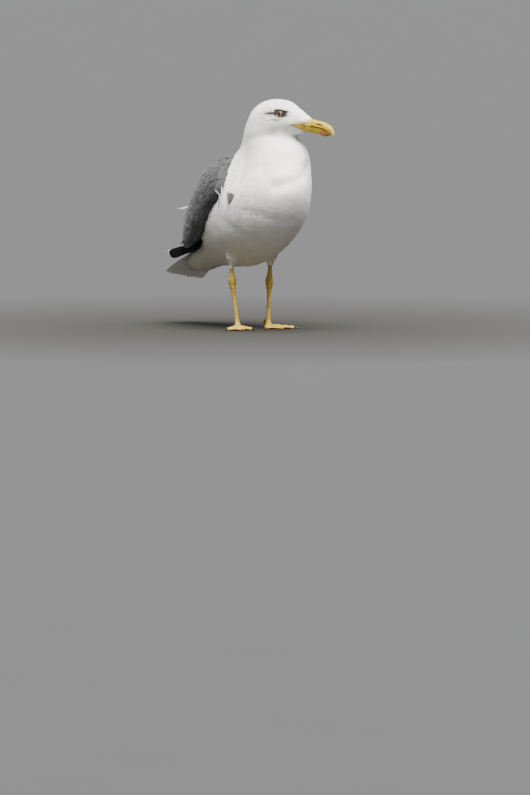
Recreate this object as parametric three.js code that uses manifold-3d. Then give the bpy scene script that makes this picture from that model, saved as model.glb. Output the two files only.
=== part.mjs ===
// A life-size standing adult yellow-legged gull (Larus michahellis), head turned to its left, as a still museum model.
// Millimetres, +Z up. The bird faces -Y, its left side is +X, and the floor under its feet is Z = 0.
// Soft forms are distance fields turned into meshes by a surface net; bill, legs, toes and tail are lofts.
import * as THREE from "three";
import { mergeVertices } from "three/addons/utils/BufferGeometryUtils.js";
import Module from "manifold-3d";

// ---------------------------------------------------------------- driving dimensions
const GAP = 0.35; // clearance between neighbouring solids
const CELL = { body: 14, head: 7.8, wing: 13.4, thigh: 7 }; // surface-net cell sizes

const BODY_PITCH = 27; // degrees the trunk's axis rises towards the breast
const BODY_YAW = -8; // degrees the trunk's axis is turned to the bird's left (negative: to its right)
const TRUNK = { front: 138, back: 127, halfWidth: 67, dorsal: 60, ventral: 70 };
const TRUNK_CENTRE = [5, 1.5, 178];

const HEAD_TURN = 21; // degrees the head is turned to the bird's left
const HEAD_CENTRE = [58, 2.3, 328];
const EYE = { along: 18.5, side: 20, up: 8, radius: 6.4 }; // from the head's centre
const BILL = { gape: 38, culmenBase: 57, gonys: 86, tip: 104.5 }; // distances ahead of the head's centre

const LEGS = { shaft: 3.3, ankle: 6, knuckle: 5, instep: 9 };
const TOES = { inner: 44, middle: 57, outer: 52, spread: { right: 30, left: 36 }, claw: 8.5, sole: 0.5 };
const WEB = { thickness: 1.5, height: 1.7 };

// ---------------------------------------------------------------- frames and small maths
const rad = THREE.MathUtils.degToRad;
const lerp = THREE.MathUtils.lerp;
const clamp = THREE.MathUtils.clamp;
const SIDES = { right: -1, left: 1 };

/** A point given as distances forward, to the bird's left, and up. */
const at = (forward, left, up) => new THREE.Vector3(left, -forward, up);

/** Unit vectors of a frame whose x runs forward, turned left by yaw and raised by pitch (degrees). */
function frameOf(yaw, pitch) {
  const level = Math.cos(rad(pitch));
  const x = at(level * Math.cos(rad(yaw)), level * Math.sin(rad(yaw)), Math.sin(rad(pitch)));
  const y = at(-Math.sin(rad(yaw)), Math.cos(rad(yaw)), 0);
  return { x, y, z: new THREE.Vector3().crossVectors(x, y) };
}

const HEAD = { ...frameOf(HEAD_TURN, 0), origin: at(...HEAD_CENTRE) };

/** A point in the head's frame: along the bill, to the head's left, and up. */
const headPoint = (along, left, up) =>
  HEAD.origin.clone().addScaledVector(HEAD.x, along).addScaledVector(HEAD.y, left).addScaledVector(HEAD.z, up);

/** The value at x of a curve through [x, value] pairs, smooth between them. */
function along(table, x) {
  const last = table.length - 1;
  const i = clamp(table.findIndex(([key]) => key > x) - 1, 0, last - 1);
  const k = x >= table[last][0] ? last - 1 : i;
  const [x0, y0] = table[k];
  const [x1, y1] = table[k + 1];
  const slope = (j) => {
    const a = table[Math.max(j - 1, 0)];
    const b = table[Math.min(j + 1, last)];
    return (b[1] - a[1]) / (b[0] - a[0]);
  };
  const w = x1 - x0;
  const t = clamp((x - x0) / w, 0, 1);
  const rise = (1 + 2 * t) * (1 - t) ** 2 * y0 + t * t * (3 - 2 * t) * y1;
  return rise + w * t * (1 - t) * ((1 - t) * slope(k) - t * slope(k + 1));
}

// ---------------------------------------------------------------- distance fields
/** An ellipsoid with its own half-length forward, backward, upward and downward. */
function egg(centre, frame, size) {
  const d = new THREE.Vector3();
  return (p) => {
    d.subVectors(p, centre);
    const x = d.dot(frame.x);
    const y = d.dot(frame.y);
    const z = d.dot(frame.z);
    const rx = x > 0 ? size.front : size.back;
    const ry = size.halfWidth;
    const rz = z > 0 ? size.dorsal : size.ventral;
    const k = Math.hypot(x / rx, y / ry, z / rz);
    const g = Math.hypot(x / rx ** 2, y / ry ** 2, z / rz ** 2);
    return g < 1e-9 ? -Math.min(rx, ry, rz) : (k * (k - 1)) / g;
  };
}

/** A rounded cone from a (radius ra) to b (radius rb). */
function cone(a, ra, b, rb) {
  const axis = new THREE.Vector3().subVectors(b, a);
  const length2 = axis.lengthSq();
  const d = new THREE.Vector3();
  return (p) => {
    const t = clamp(d.subVectors(p, a).dot(axis) / length2, 0, 1);
    return d.addScaledVector(axis, -t).length() - lerp(ra, rb, t);
  };
}

/** The side of a plane that its normal points away from. */
function below(point, normal) {
  const n = normal.clone().normalize();
  const level = n.dot(point);
  return (p) => n.dot(p) - level;
}

const softMin = (a, b, soft) => {
  const h = Math.max(soft - Math.abs(a - b), 0) / soft;
  return Math.min(a, b) - (h * h * soft) / 4;
};

/** Smooth union of fields, which blend over about `soft` millimetres. */
const blend = (soft, first, ...rest) => (p) => rest.reduce((a, field) => softMin(a, field(p), soft), first(p));

/** Smooth intersection of fields. */
const common = (soft, first, ...rest) => (p) =>
  rest.reduce((a, field) => -softMin(-a, -field(p), soft), first(p));

/** A field kept inside a box, so that its surface closes. */
const boxed = (field, low, high) => (p) =>
  Math.max(field(p), low.x - p.x, low.y - p.y, low.z - p.z, p.x - high.x, p.y - high.y, p.z - high.z);

// ---------------------------------------------------------------- the bird's soft forms
const trunkAxis = frameOf(BODY_YAW, BODY_PITCH);
const trunk = egg(at(...TRUNK_CENTRE), trunkAxis, TRUNK);
const mantle = egg(at(-22, 0, 206), frameOf(0, 38), {
  front: 92, back: 116, halfWidth: 56, dorsal: 64, ventral: 50,
});
const crop = egg(at(67, 4, 256), frameOf(0, 62), { front: 48, back: 62, halfWidth: 44, dorsal: 46, ventral: 44 });
const neck = egg(at(38, 1.5, 296), frameOf(8, 0), { front: 43, back: 45, halfWidth: 36, dorsal: 48, ventral: 84 });
/** The full plumage of the throat, which swells out just below the chin. */
const puff = egg(at(76, 10, 265), frameOf(0, 0), { front: 30, back: 30, halfWidth: 30, dorsal: 30, ventral: 30 });
const undertail = egg(at(-110, 1, 117), frameOf(0, 29), {
  front: 72, back: 56, halfWidth: 33, dorsal: 18, ventral: 24,
});
const skull = egg(HEAD.origin, HEAD, { front: 44, back: 44, halfWidth: 27, dorsal: 30.5, ventral: 30 });
const face = cone(headPoint(18, 0, -1), 20, headPoint(BILL.culmenBase - 6, 0, -7), 8);

const upperBreast = blend(8, blend(16, crop, neck), puff);
const bodyField = blend(30, blend(22, trunk, mantle), undertail, upperBreast);
const wholeField = blend(14, bodyField, blend(16, skull, face));

const LEG = {
  right: {
    hip: [-9, -28, 140], knee: [-14, -31, 114], cuff: [-16, -31.5, 98], ankle: [-18, -28.5, 73], foot: [-11.5, -22.5],
    heading: -28,
  },
  left: {
    hip: [-3, 33, 140], knee: [-8, 36.5, 114], cuff: [-10, 38.5, 98], ankle: [-10, 36.5, 71], foot: [-8.5, 33.5],
    heading: -6,
  },
};

/** The folded wing from its hidden wrist to the ends of the tertials. */
function wingField(side) {
  const form = egg(at(-44, side * 20, 198), frameOf(side * 10, 41), {
    front: 88, back: 150, halfWidth: 51, dorsal: 59, ventral: 50,
  });
  const lowerEdge = below(at(-36, side * 72, 181), at(74, 0, -80));
  const rearEdge = below(at(-110, side * 40, 121), at(0.06, 0, -1));
  const frontEdge = below(at(-1, side * 60, 225), at(1, side * 0.2, 0.22));
  const innerEdge = below(at(-40, side * 9, 200), at(0.068, -side, 0));
  return common(8, form, lowerEdge, rearEdge, frontEdge, innerEdge);
}

// ---------------------------------------------------------------- surface net
/** Moves a point onto the field's zero surface. */
function ontoSurface(field, point) {
  const h = 0.4;
  const slope = new THREE.Vector3();
  const q = new THREE.Vector3();
  for (let n = 0; n < 3; n++) {
    const here = field(point);
    for (const k of ["x", "y", "z"]) {
      q.copy(point)[k] += h;
      slope[k] = (field(q) - here) / h;
    }
    point.addScaledVector(slope, -here / Math.max(slope.lengthSq(), 0.2));
  }
  return point;
}

/** Two triangles of a quad, cut along its shorter diagonal. */
function splitQuad(points, [a, b, c, d]) {
  const short = points[a].distanceTo(points[c]) < points[b].distanceTo(points[d]);
  return short ? [[a, b, c], [a, c, d]] : [[a, b, d], [b, c, d]];
}

function geometryOf(points, faces) {
  const geometry = new THREE.BufferGeometry().setFromPoints(points);
  geometry.setIndex(faces.flat());
  return geometry;
}

const CORNERS = [0, 1, 2, 3, 4, 5, 6, 7].map((c) => [c & 1, (c >> 1) & 1, c >> 2]);
const CELL_EDGES = CORNERS.flatMap((_, a) => [1, 2, 4].filter((b) => !(a & b)).map((b) => [a, a | b]));
const STEPS = [[1, 0, 0], [0, 1, 0], [0, 0, 1]];
const RINGS = [
  [[0, 0, 0], [0, -1, 0], [0, -1, -1], [0, 0, -1]],
  [[0, 0, 0], [0, 0, -1], [-1, 0, -1], [-1, 0, 0]],
  [[0, 0, 0], [-1, 0, 0], [-1, -1, 0], [0, -1, 0]],
];

/** The zero surface of a field inside a box as a closed mesh of quads, split into triangles. */
function surfaceNet(openField, boxLow, boxHigh, cell) {
  const field = boxed(openField, boxLow, boxHigh);
  const low = boxLow.clone().subScalar(1.5 * cell);
  const [nx, ny, nz] = ["x", "y", "z"].map((k) => Math.ceil((boxHigh[k] - low[k]) / cell) + 3);
  const index = (i, j, k) => i + nx * (j + ny * k);
  const place = (i, j, k) => new THREE.Vector3(i, j, k).multiplyScalar(cell).add(low);
  const value = new Float32Array(nx * ny * nz);
  for (let k = 0; k < nz; k++)
    for (let j = 0; j < ny; j++)
      for (let i = 0; i < nx; i++) value[index(i, j, k)] = field(place(i, j, k));

  const points = [];
  const vertexOf = new Int32Array(nx * ny * nz).fill(-1);
  for (let k = 0; k < nz - 1; k++)
    for (let j = 0; j < ny - 1; j++)
      for (let i = 0; i < nx - 1; i++) {
        const v = CORNERS.map(([a, b, c]) => value[index(i + a, j + b, k + c)]);
        const crossed = CELL_EDGES.filter(([a, b]) => v[a] < 0 !== v[b] < 0);
        if (!crossed.length) continue;
        const mean = new THREE.Vector3();
        for (const [a, b] of crossed) {
          const start = new THREE.Vector3(...CORNERS[a]);
          mean.add(start.lerp(new THREE.Vector3(...CORNERS[b]), v[a] / (v[a] - v[b])));
        }
        mean.multiplyScalar(cell / crossed.length).add(place(i, j, k));
        vertexOf[index(i, j, k)] = points.length;
        points.push(ontoSurface(field, mean));
      }

  const faces = [];
  for (let k = 1; k < nz - 1; k++)
    for (let j = 1; j < ny - 1; j++)
      for (let i = 1; i < nx - 1; i++)
        STEPS.forEach(([a, b, c], axis) => {
          const inside = value[index(i, j, k)] < 0;
          if (inside === value[index(i + a, j + b, k + c)] < 0) return;
          const quad = RINGS[axis].map(([x, y, z]) => vertexOf[index(i + x, j + y, k + z)]);
          faces.push(...splitQuad(points, inside ? quad : quad.reverse()));
        });
  return geometryOf(points, faces);
}

// ---------------------------------------------------------------- lofts
/** A closed body through rings of points, with a cap at each end. */
function loft(rings) {
  const n = rings[0].length;
  const points = rings.flat();
  const faces = [];
  for (let r = 0; r < rings.length - 1; r++)
    for (let i = 0; i < n; i++) {
      const j = (i + 1) % n;
      faces.push(...splitQuad(points, [r * n + i, r * n + j, (r + 1) * n + j, (r + 1) * n + i]));
    }
  for (const r of [0, rings.length - 1]) {
    const middle = points.length;
    points.push(rings[r].reduce((sum, p) => sum.add(p), new THREE.Vector3()).divideScalar(n));
    for (let i = 0; i < n; i++) {
      const face = [r * n + i, r * n + ((i + 1) % n), middle];
      faces.push(r ? face : face.reverse());
    }
  }
  return geometryOf(points, faces);
}

/** A ring of n points round a centre: half-width along y, and its own height above and below. */
function ring(centre, frame, halfWidth, top, bottom, n) {
  return Array.from({ length: n }, (_, i) => {
    const angle = (2 * Math.PI * (i + 0.5)) / n;
    const rise = Math.sin(angle);
    return centre
      .clone()
      .addScaledVector(frame.y, halfWidth * Math.cos(angle))
      .addScaledVector(frame.z, (rise > 0 ? top : bottom) * rise);
  });
}

/** A round tube through [point, radius] pairs, its rings kept from twisting. */
function tube(stations, n = 10) {
  const side = at(0, 1, 0);
  const rings = stations.map(([centre, radius], i) => {
    const a = stations[Math.max(i - 1, 0)][0];
    const b = stations[Math.min(i + 1, stations.length - 1)][0];
    const x = new THREE.Vector3().subVectors(b, a).normalize();
    if (i === 0 && Math.abs(x.z) < 0.9) side.set(-x.y, x.x, 0);
    side.addScaledVector(x, -side.dot(x)).normalize();
    const frame = { y: side.clone(), z: new THREE.Vector3().crossVectors(x, side) };
    return ring(centre, frame, radius, radius, radius, n);
  });
  return loft(rings);
}

// ---------------------------------------------------------------- solids
const wasm = await Module();
wasm.setup();

/** A geometry as a solid whose faces point outwards. */
function solidOf(geometry) {
  const bare = geometry.clone();
  bare.deleteAttribute("normal");
  bare.deleteAttribute("uv");
  const merged = mergeVertices(bare, 1e-4);
  const make = (triVerts) =>
    new wasm.Manifold(
      new wasm.Mesh({ numProp: 3, vertProperties: merged.attributes.position.array, triVerts }),
    );
  const order = Array.from(merged.index.array);
  const made = make(Uint32Array.from(order));
  return made.volume() > 0 ? made : make(Uint32Array.from(order.reverse()));
}

const join = (...solids) => solids.reduce((a, b) => a.add(b));
const sphere = (centre, radius, n = 14) =>
  solidOf(new THREE.SphereGeometry(radius, n, n / 2).translate(centre.x, centre.y, centre.z));

/** The part of a solid beyond a plane, kept half a gap clear of it. */
function beyond(solid, point, normal) {
  const n = normal.clone().normalize();
  const size = 1200;
  const box = new THREE.BoxGeometry(size, size, size).translate(0, 0, size / 2 + GAP / 2);
  const turn = new THREE.Quaternion().setFromUnitVectors(new THREE.Vector3(0, 0, 1), n);
  return solid.intersect(solidOf(box.applyQuaternion(turn).translate(point.x, point.y, point.z)));
}

const MATERIALS = {
  body_plumage: [0xf2f0ea, 0.85],
  wing_plumage: [0x7d8086, 0.8],
  flight_feathers: [0x16161a, 0.7],
  tail_feathers: [0xf4f3ef, 0.8],
  bill_horn: [0xd8b040, 0.35],
  leg_skin: [0xd9ac45, 0.5],
  claw_horn: [0x2a2420, 0.4],
  eye: [0xd8cfa0, 0.1],
};

const gull = new THREE.Group();

/** Adds the largest body of a solid to the bird as a named mesh. */
function addMesh(name, solid, slot) {
  const body = solid.decompose().reduce((a, b) => (b.volume() > a.volume() ? b : a));
  const { numProp, vertProperties, triVerts } = body.getMesh();
  const points = new Float32Array((vertProperties.length / numProp) * 3);
  for (let i = 0; i < points.length / 3; i++) points.set(vertProperties.subarray(i * numProp, i * numProp + 3), i * 3);
  const geometry = new THREE.BufferGeometry()
    .setAttribute("position", new THREE.BufferAttribute(points, 3))
    .setIndex(new THREE.BufferAttribute(triVerts, 1));
  geometry.computeVertexNormals();
  const [color, roughness] = MATERIALS[slot];
  const mesh = new THREE.Mesh(geometry, new THREE.MeshStandardMaterial({ color, roughness, metalness: 0 }));
  mesh.name = name;
  gull.add(mesh);
}

// ---------------------------------------------------------------- trunk, neck and head
const BODY_BOX = [new THREE.Vector3(-95, -150, 70), new THREE.Vector3(95, 215, 325)];
const HEAD_BOX = [new THREE.Vector3(-60, -150, 285), new THREE.Vector3(80, 20, 372)];
const NECK_PLANE = [at(44, 2, 281), at(0.28, 0.05, 0.96)];
const THROAT_PLANE = [at(50, 2, 304), at(0.1, 0.05, 0.99)];

const bodyNet = solidOf(surfaceNet(wholeField, ...BODY_BOX, CELL.body));
const bodyNetGrown = solidOf(surfaceNet((p) => wholeField(p) - 1.1, ...BODY_BOX, CELL.body));
const headNet = solidOf(surfaceNet(wholeField, ...HEAD_BOX, CELL.head));
const headNetGrown = solidOf(surfaceNet((p) => wholeField(p) - 0.6, ...HEAD_BOX, CELL.head));
const flip = ([point, normal]) => [point, normal.clone().negate()];

const eyeCentre = (side) => headPoint(EYE.along, side * EYE.side, EYE.up);
const sockets = Object.values(SIDES).map((side) => sphere(eyeCentre(side), EYE.radius + GAP));
const head = sockets.reduce((a, b) => a.subtract(b), beyond(headNet, ...THROAT_PLANE));
addMesh("head", head, "body_plumage");
for (const [name, side] of Object.entries(SIDES)) addMesh(`eye_${name}`, sphere(eyeCentre(side), EYE.radius), "eye");
addMesh("neck", beyond(beyond(bodyNet, ...NECK_PLANE), ...flip(THROAT_PLANE)), "body_plumage");

// ---------------------------------------------------------------- bill
const CULMEN = [[30, 1], [57, 1], [75.5, -1.6], [85, -3.7], [94.5, -7.2], [101, -12.5], [103.8, -19.6]];
const CHIN_EDGE = [[30, -21], [49, -20.3], [66, -20.6], [76, -22.5], [86, -25.2], [95.5, -24.3], [99, -21.5]];
const TOMIUM = [[30, -6.5], [38, -8], [55, -9.6], [70, -11], [85, -14], [95, -18], [101, -22.5], [103, -26]];
const BILL_WIDTH = [[30, 12], [38, 11.5], [50, 9.6], [60, 8.2], [75, 6.6], [88, 5.2], [96, 4], [101, 2.8], [104, 1.4]];

/** Upper mandible: culmen above, cutting edge below, and a down-turned hook. */
function upperBill() {
  const rings = [];
  for (let a = 34; a < 100; a += 6.4) {
    const top = along(CULMEN, a);
    const low = along(TOMIUM, a) + GAP / 2;
    rings.push(billRing(a, top, low, along(BILL_WIDTH, a), 0.14));
  }
  for (const [a, up, reach, width] of [[100.4, -17, 5.6, 2.9], [101.7, -22, 3.1, 2.1], [102.2, -26.6, 1.3, 1.1]]) {
    const tilt = { y: HEAD.y, z: HEAD.x.clone().multiplyScalar(0.8).addScaledVector(HEAD.z, 0.6) };
    rings.push(ring(headPoint(a, 0, up), tilt, width, reach * 0.6, reach, 12));
  }
  return loft(rings);
}

/** A ring of the bill between two heights; the widest level sits at `waist` of its depth. */
function billRing(a, top, low, halfWidth, waist) {
  const mid = lerp(low, top, waist);
  return ring(headPoint(a, 0, mid), HEAD, halfWidth, top - mid, mid - low, 12);
}

/** Lower mandible, deepest at the gonys. */
function lowerBill() {
  const rings = [];
  for (let a = 34; a < 99.5; a += 6.5) {
    const top = along(TOMIUM, a) - GAP / 2;
    const low = along(CHIN_EDGE, a);
    rings.push(billRing(a, top, low, along(BILL_WIDTH, a) * 0.88, 0.84));
  }
  return loft(rings);
}

const bill = { upper: solidOf(upperBill()).subtract(headNetGrown), lower: solidOf(lowerBill()).subtract(headNetGrown) };
addMesh("bill_upper", bill.upper.subtract(solidOf(lowerBill())), "bill_horn");
addMesh("bill_lower", bill.lower, "bill_horn");

// ---------------------------------------------------------------- wings and tail
/** One tail: twelve rectrices closed into a shallow arched fan. */
function tailFan() {
  const stations = [
    { f: -92, up: 141, half: 20, arch: 6, roll: 0, thick: 6 },
    { f: -120, up: 127, half: 23, arch: 5, roll: 1, thick: 4.6 },
    { f: -150, up: 108, half: 28, arch: 4, roll: 3, thick: 3.4 },
    { f: -178, up: 87, half: 34, arch: 3, roll: 5, thick: 2.4 },
    { f: -195, up: 74.5, half: 36.5, arch: 2, roll: 6, thick: 1.6 },
  ];
  const n = 9;
  const rings = stations.map(({ f, up, half, arch, roll, thick }, r) => {
    const edge = (sign) => (_, i) => {
      const t = (2 * i) / (n - 1) - 1;
      const rounded = r === stations.length - 1 ? 7 * t * t : 0;
      const drop = arch * t * t + roll * t - (sign * thick) / 2;
      return at(f + rounded, half * t, up - drop + rounded * 0.6);
    };
    const upper = Array.from({ length: n }, edge(1));
    const lower = Array.from({ length: n }, edge(-1)).reverse();
    return [...upper, ...lower];
  });
  return loft(rings);
}

/** The stack of long primaries, a blade that leans inwards and reaches past the tail. */
function primaries(side, grow = 0) {
  const sweep = side < 0 ? 0 : 4;
  const stations = [
    { p: [-76, 46, 129], height: 7, thick: 4 },
    { p: [-100, 43, 127], height: 12, thick: 5.5 },
    { p: [-130, 37, 121 + sweep / 2], height: 13, thick: 5.5 },
    { p: [-156, 31, 114 + sweep], height: 11.5, thick: 4.2 },
    { p: [-180, 25, 109 + sweep], height: 8.5, thick: 2.8 },
    { p: [-198, 20, 109 + sweep], height: 5, thick: 1.8 },
    { p: [-208, 17, 109.5 + sweep], height: 1.6, thick: 1 },
  ];
  const x = at(-1, -side * 0.22, -0.24).normalize();
  const y = at(0, side, 0.75).normalize();
  const frame = { y, z: new THREE.Vector3().crossVectors(x, y).normalize() };
  const shift = side < 0 ? 0 : 8;
  return loft(
    stations.map(({ p: [forward, left, up], height, thick }) =>
      ring(at(forward + shift, side * left, up), frame, thick + grow, height + grow, height + grow, 12),
    ),
  );
}

const boxRound = (low, high) => [new THREE.Vector3(...low), new THREE.Vector3(...high)];
const wingBox = { right: boxRound([-100, -40, 90], [8, 240, 300]), left: boxRound([-8, -40, 90], [100, 240, 300]) };
const netOf = (field, box, cell) => solidOf(surfaceNet(field, ...box, cell));

addMesh("trunk", beyond(bodyNet, ...flip(NECK_PLANE)), "body_plumage");
addMesh("tail", solidOf(tailFan()).subtract(bodyNetGrown), "tail_feathers");
for (const [name, side] of Object.entries(SIDES)) {
  const wing = netOf(wingField(side), wingBox[name], CELL.wing);
  const wingGrown = netOf((p) => wingField(side)(p) - 1.6, wingBox[name], CELL.wing);
  addMesh(`wing_${name}`, wing.subtract(bodyNetGrown), "wing_plumage");
  const stack = solidOf(primaries(side)).subtract(bodyNetGrown).subtract(wingGrown);
  addMesh(`primaries_${name}`, side < 0 ? stack : stack.subtract(solidOf(primaries(-1, GAP))), "flight_feathers");
}

// ---------------------------------------------------------------- legs and feet
/** The bare leg bones' skin: a stout ankle between a short tibia and a long tarsus. */
function shank(leg) {
  const [cuff, ankle] = [at(...leg.cuff), at(...leg.ankle)];
  const foot = at(leg.foot[0], leg.foot[1], 3);
  const on = (a, b, t) => a.clone().lerp(b, t);
  return solidOf(
    tube([
      [on(cuff, at(...leg.knee), 0.3), 3.8],
      [on(cuff, ankle, 0.45), 4.1],
      [on(cuff, ankle, 0.8), 5.4],
      [ankle, LEGS.ankle],
      [on(ankle, foot, 0.1), LEGS.ankle * 0.92],
      [on(ankle, foot, 0.22), LEGS.shaft + 0.5],
      [on(ankle, foot, 0.45), LEGS.shaft],
      [on(ankle, foot, 0.8), LEGS.shaft + 0.1],
      [on(ankle, foot, 0.93), LEGS.shaft + 1],
      [foot, LEGS.knuckle],
    ]),
  );
}

/** One front toe on the floor, from the knuckle to the root of its claw, and the direction it points in. */
function toeOf(leg, spread, length) {
  const heading = rad(leg.heading + spread);
  const aim = at(Math.cos(heading), Math.sin(heading), 0);
  const base = at(leg.foot[0], leg.foot[1], 0);
  const reach = length - TOES.claw;
  const joints = [[0, 4], [0.22, 3.1], [0.36, 3.3], [0.5, 2.7], [0.66, 2.9], [0.8, 2.3], [0.92, 2.5], [1, 2]];
  const place = (t, r) => base.clone().addScaledVector(aim, t * reach).add(at(0, 0, r - TOES.sole));
  const tip = base.clone().addScaledVector(aim, reach);
  return { aim, tip, solid: solidOf(tube(joints.map(([t, r]) => [place(t, r), r]), 8)) };
}

/** The web between two toes, with a hollow front edge, clear of the floor. */
function webOf(leg, toes) {
  const shape = new THREE.Shape();
  const flat = toes.map(({ tip }) => [tip.x, tip.y]);
  const base = [at(leg.foot[0], leg.foot[1], 0).x, at(leg.foot[0], leg.foot[1], 0).y];
  shape.moveTo(...base);
  shape.lineTo(...flat[0]);
  for (const [a, b] of [[flat[0], flat[1]], [flat[1], flat[2]]]) {
    const hollow = [0, 1].map((k) => base[k] + ((a[k] + b[k]) / 2 - base[k]) * 0.84);
    shape.quadraticCurveTo(...hollow, ...b);
  }
  const web = new THREE.ExtrudeGeometry(shape, { depth: WEB.thickness, bevelEnabled: false, curveSegments: 4 });
  return solidOf(web.translate(0, 0, WEB.height));
}

/** A claw that curves down from the end of a toe. */
function clawOf(tip, aim, scale = 1) {
  const place = (forward, up) => tip.clone().addScaledVector(aim, forward * scale).add(at(0, 0, up));
  const core = [[-1.5, 1.9, 1.9], [1.5, 2, 1.75], [4, 1.9, 1.35], [6.3, 1.5, 0.9], [8.2, 0.9, 0.45]];
  return solidOf(tube(core.map(([f, up, r]) => [place(f, up), r * scale]), 8));
}

/** The small raised hind toe with its short claw. */
function hindToeOf(leg) {
  const heading = rad(leg.heading);
  const back = at(-Math.cos(heading), -Math.sin(heading), 0);
  const base = at(leg.foot[0], leg.foot[1], 0);
  const place = (away, up) => base.clone().addScaledVector(back, away).add(at(0, 0, up));
  const toe = [[5.7, 13.6, 1.9], [8, 12.2, 2.2], [10.6, 9.8, 1.9], [12.2, 7.2, 1.4], [13, 4.4, 0.6]];
  return solidOf(tube(toe.map(([away, up, radius]) => [place(away, up), radius]), 8));
}

const FLOOR = [at(0, 0, -GAP / 2), at(0, 0, 1)];
for (const [name, side] of Object.entries(SIDES)) {
  const leg = LEG[name];
  const [knee, cuff, ankle] = [at(...leg.knee), at(...leg.cuff), at(...leg.ankle)];
  const ankleCut = [ankle, at(leg.foot[0] - leg.cuff[0], leg.foot[1] - leg.cuff[1], -100)];
  const footCut = [at(leg.foot[0], leg.foot[1], LEGS.instep), at(0, 0, 1)];
  const cuffCut = [cuff, at(0, 0, 1)];
  const thighBox = boxRound([side < 0 ? -75 : 0, -60, 86], [side < 0 ? 0 : 75, 60, 175]);
  const thigh = blend(10, cone(at(...leg.hip), 21, knee, 8.5), cone(knee, 8.5, cuff.clone().lerp(knee, -0.3), 4.6));
  addMesh(`thigh_${name}`, beyond(netOf(thigh, thighBox, CELL.thigh).subtract(bodyNetGrown), ...cuffCut), "body_plumage");
  const bare = shank(leg);
  addMesh(`tibia_${name}`, beyond(beyond(bare, ...flip(cuffCut)), ...flip(ankleCut)), "leg_skin");
  addMesh(`tarsus_${name}`, beyond(beyond(bare, ...ankleCut), ...footCut), "leg_skin");
  addMesh(`hind_toe_${name}`, hindToeOf(leg), "leg_skin");

  const spread = TOES.spread[name];
  const toes = [[-side * spread, TOES.inner], [0, TOES.middle], [side * spread, TOES.outer]];
  const front = toes.map(([turn, length]) => toeOf(leg, turn, length));
  const knuckle = beyond(bare, ...flip(footCut));
  const claws = front.map(({ tip, aim }) => clawOf(tip, aim));
  const grown = front.map(({ tip, aim }) => clawOf(tip, aim, 1.16));
  const whole = join(knuckle, webOf(leg, front), ...front.map(({ solid }) => solid));
  addMesh(`foot_${name}`, beyond(grown.reduce((a, b) => a.subtract(b), whole), ...FLOOR), "leg_skin");
  ["inner", "middle", "outer"].forEach((toe, i) => {
    const clear = front[i].tip.clone().addScaledVector(front[i].aim, GAP / 2);
    addMesh(`claw_${toe}_${name}`, beyond(claws[i], clear, front[i].aim), "claw_horn");
  });
}

// The origin is the middle of the bird's box, on the floor.
const box = new THREE.Box3().setFromObject(gull);
gull.position.set(-(box.min.x + box.max.x) / 2, -(box.min.y + box.max.y) / 2, 0);

export default gull;
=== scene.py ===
"""A standing yellow-legged gull: one skin under a coat of feathers, with bill, eyes and legs of their own."""

import math

import bpy
import numpy as np
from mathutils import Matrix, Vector


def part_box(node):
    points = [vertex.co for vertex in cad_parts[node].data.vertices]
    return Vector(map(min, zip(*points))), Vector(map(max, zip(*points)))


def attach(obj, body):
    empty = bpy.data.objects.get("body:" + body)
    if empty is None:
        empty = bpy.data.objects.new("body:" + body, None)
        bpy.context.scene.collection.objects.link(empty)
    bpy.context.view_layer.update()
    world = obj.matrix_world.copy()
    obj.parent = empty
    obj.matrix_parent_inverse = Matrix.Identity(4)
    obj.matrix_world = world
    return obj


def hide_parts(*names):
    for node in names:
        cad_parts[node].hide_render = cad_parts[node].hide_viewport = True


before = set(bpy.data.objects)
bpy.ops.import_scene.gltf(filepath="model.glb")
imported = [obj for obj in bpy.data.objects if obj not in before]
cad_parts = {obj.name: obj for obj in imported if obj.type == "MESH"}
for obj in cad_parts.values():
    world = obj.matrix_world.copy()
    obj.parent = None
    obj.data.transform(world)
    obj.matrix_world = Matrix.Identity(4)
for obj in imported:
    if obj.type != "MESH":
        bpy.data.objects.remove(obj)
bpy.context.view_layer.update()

RNG = np.random.default_rng(7)
MM = 0.001
SIDES = {"right": -1, "left": 1}


# ---------------------------------------------------------------- small maths, in millimetres
def at(forward, left, up):
    """The bird faces -Y and its left is +X."""
    return np.array([left, -forward, up], float)


def frame_of(yaw, pitch):
    """Rows x, y, z of a frame whose x runs forward, turned left by yaw and raised by pitch (degrees)."""
    a, e = math.radians(yaw), math.radians(pitch)
    x = at(math.cos(e) * math.cos(a), math.cos(e) * math.sin(a), math.sin(e))
    y = at(-math.sin(a), math.cos(a), 0)
    return np.stack([x, y, np.cross(x, y)])


def unit(v):
    return v / np.maximum(np.linalg.norm(v, axis=-1, keepdims=True), 1e-9)


def flattened(way, normal):
    """Directions laid into the surface with those normals."""
    return unit(way - normal * (way * normal).sum(1)[:, None])


def ramp(x, low, high):
    """0 below low, 1 above high, smooth between them. low may be above high."""
    t = np.clip((x - low) / (high - low), 0, 1)
    return t * t * (3 - 2 * t)


def bump(x, centre, width):
    return np.exp(-(((x - centre) / width) ** 2))


def mixed(a, b, share):
    return a * (1 - share) + b * share


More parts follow.
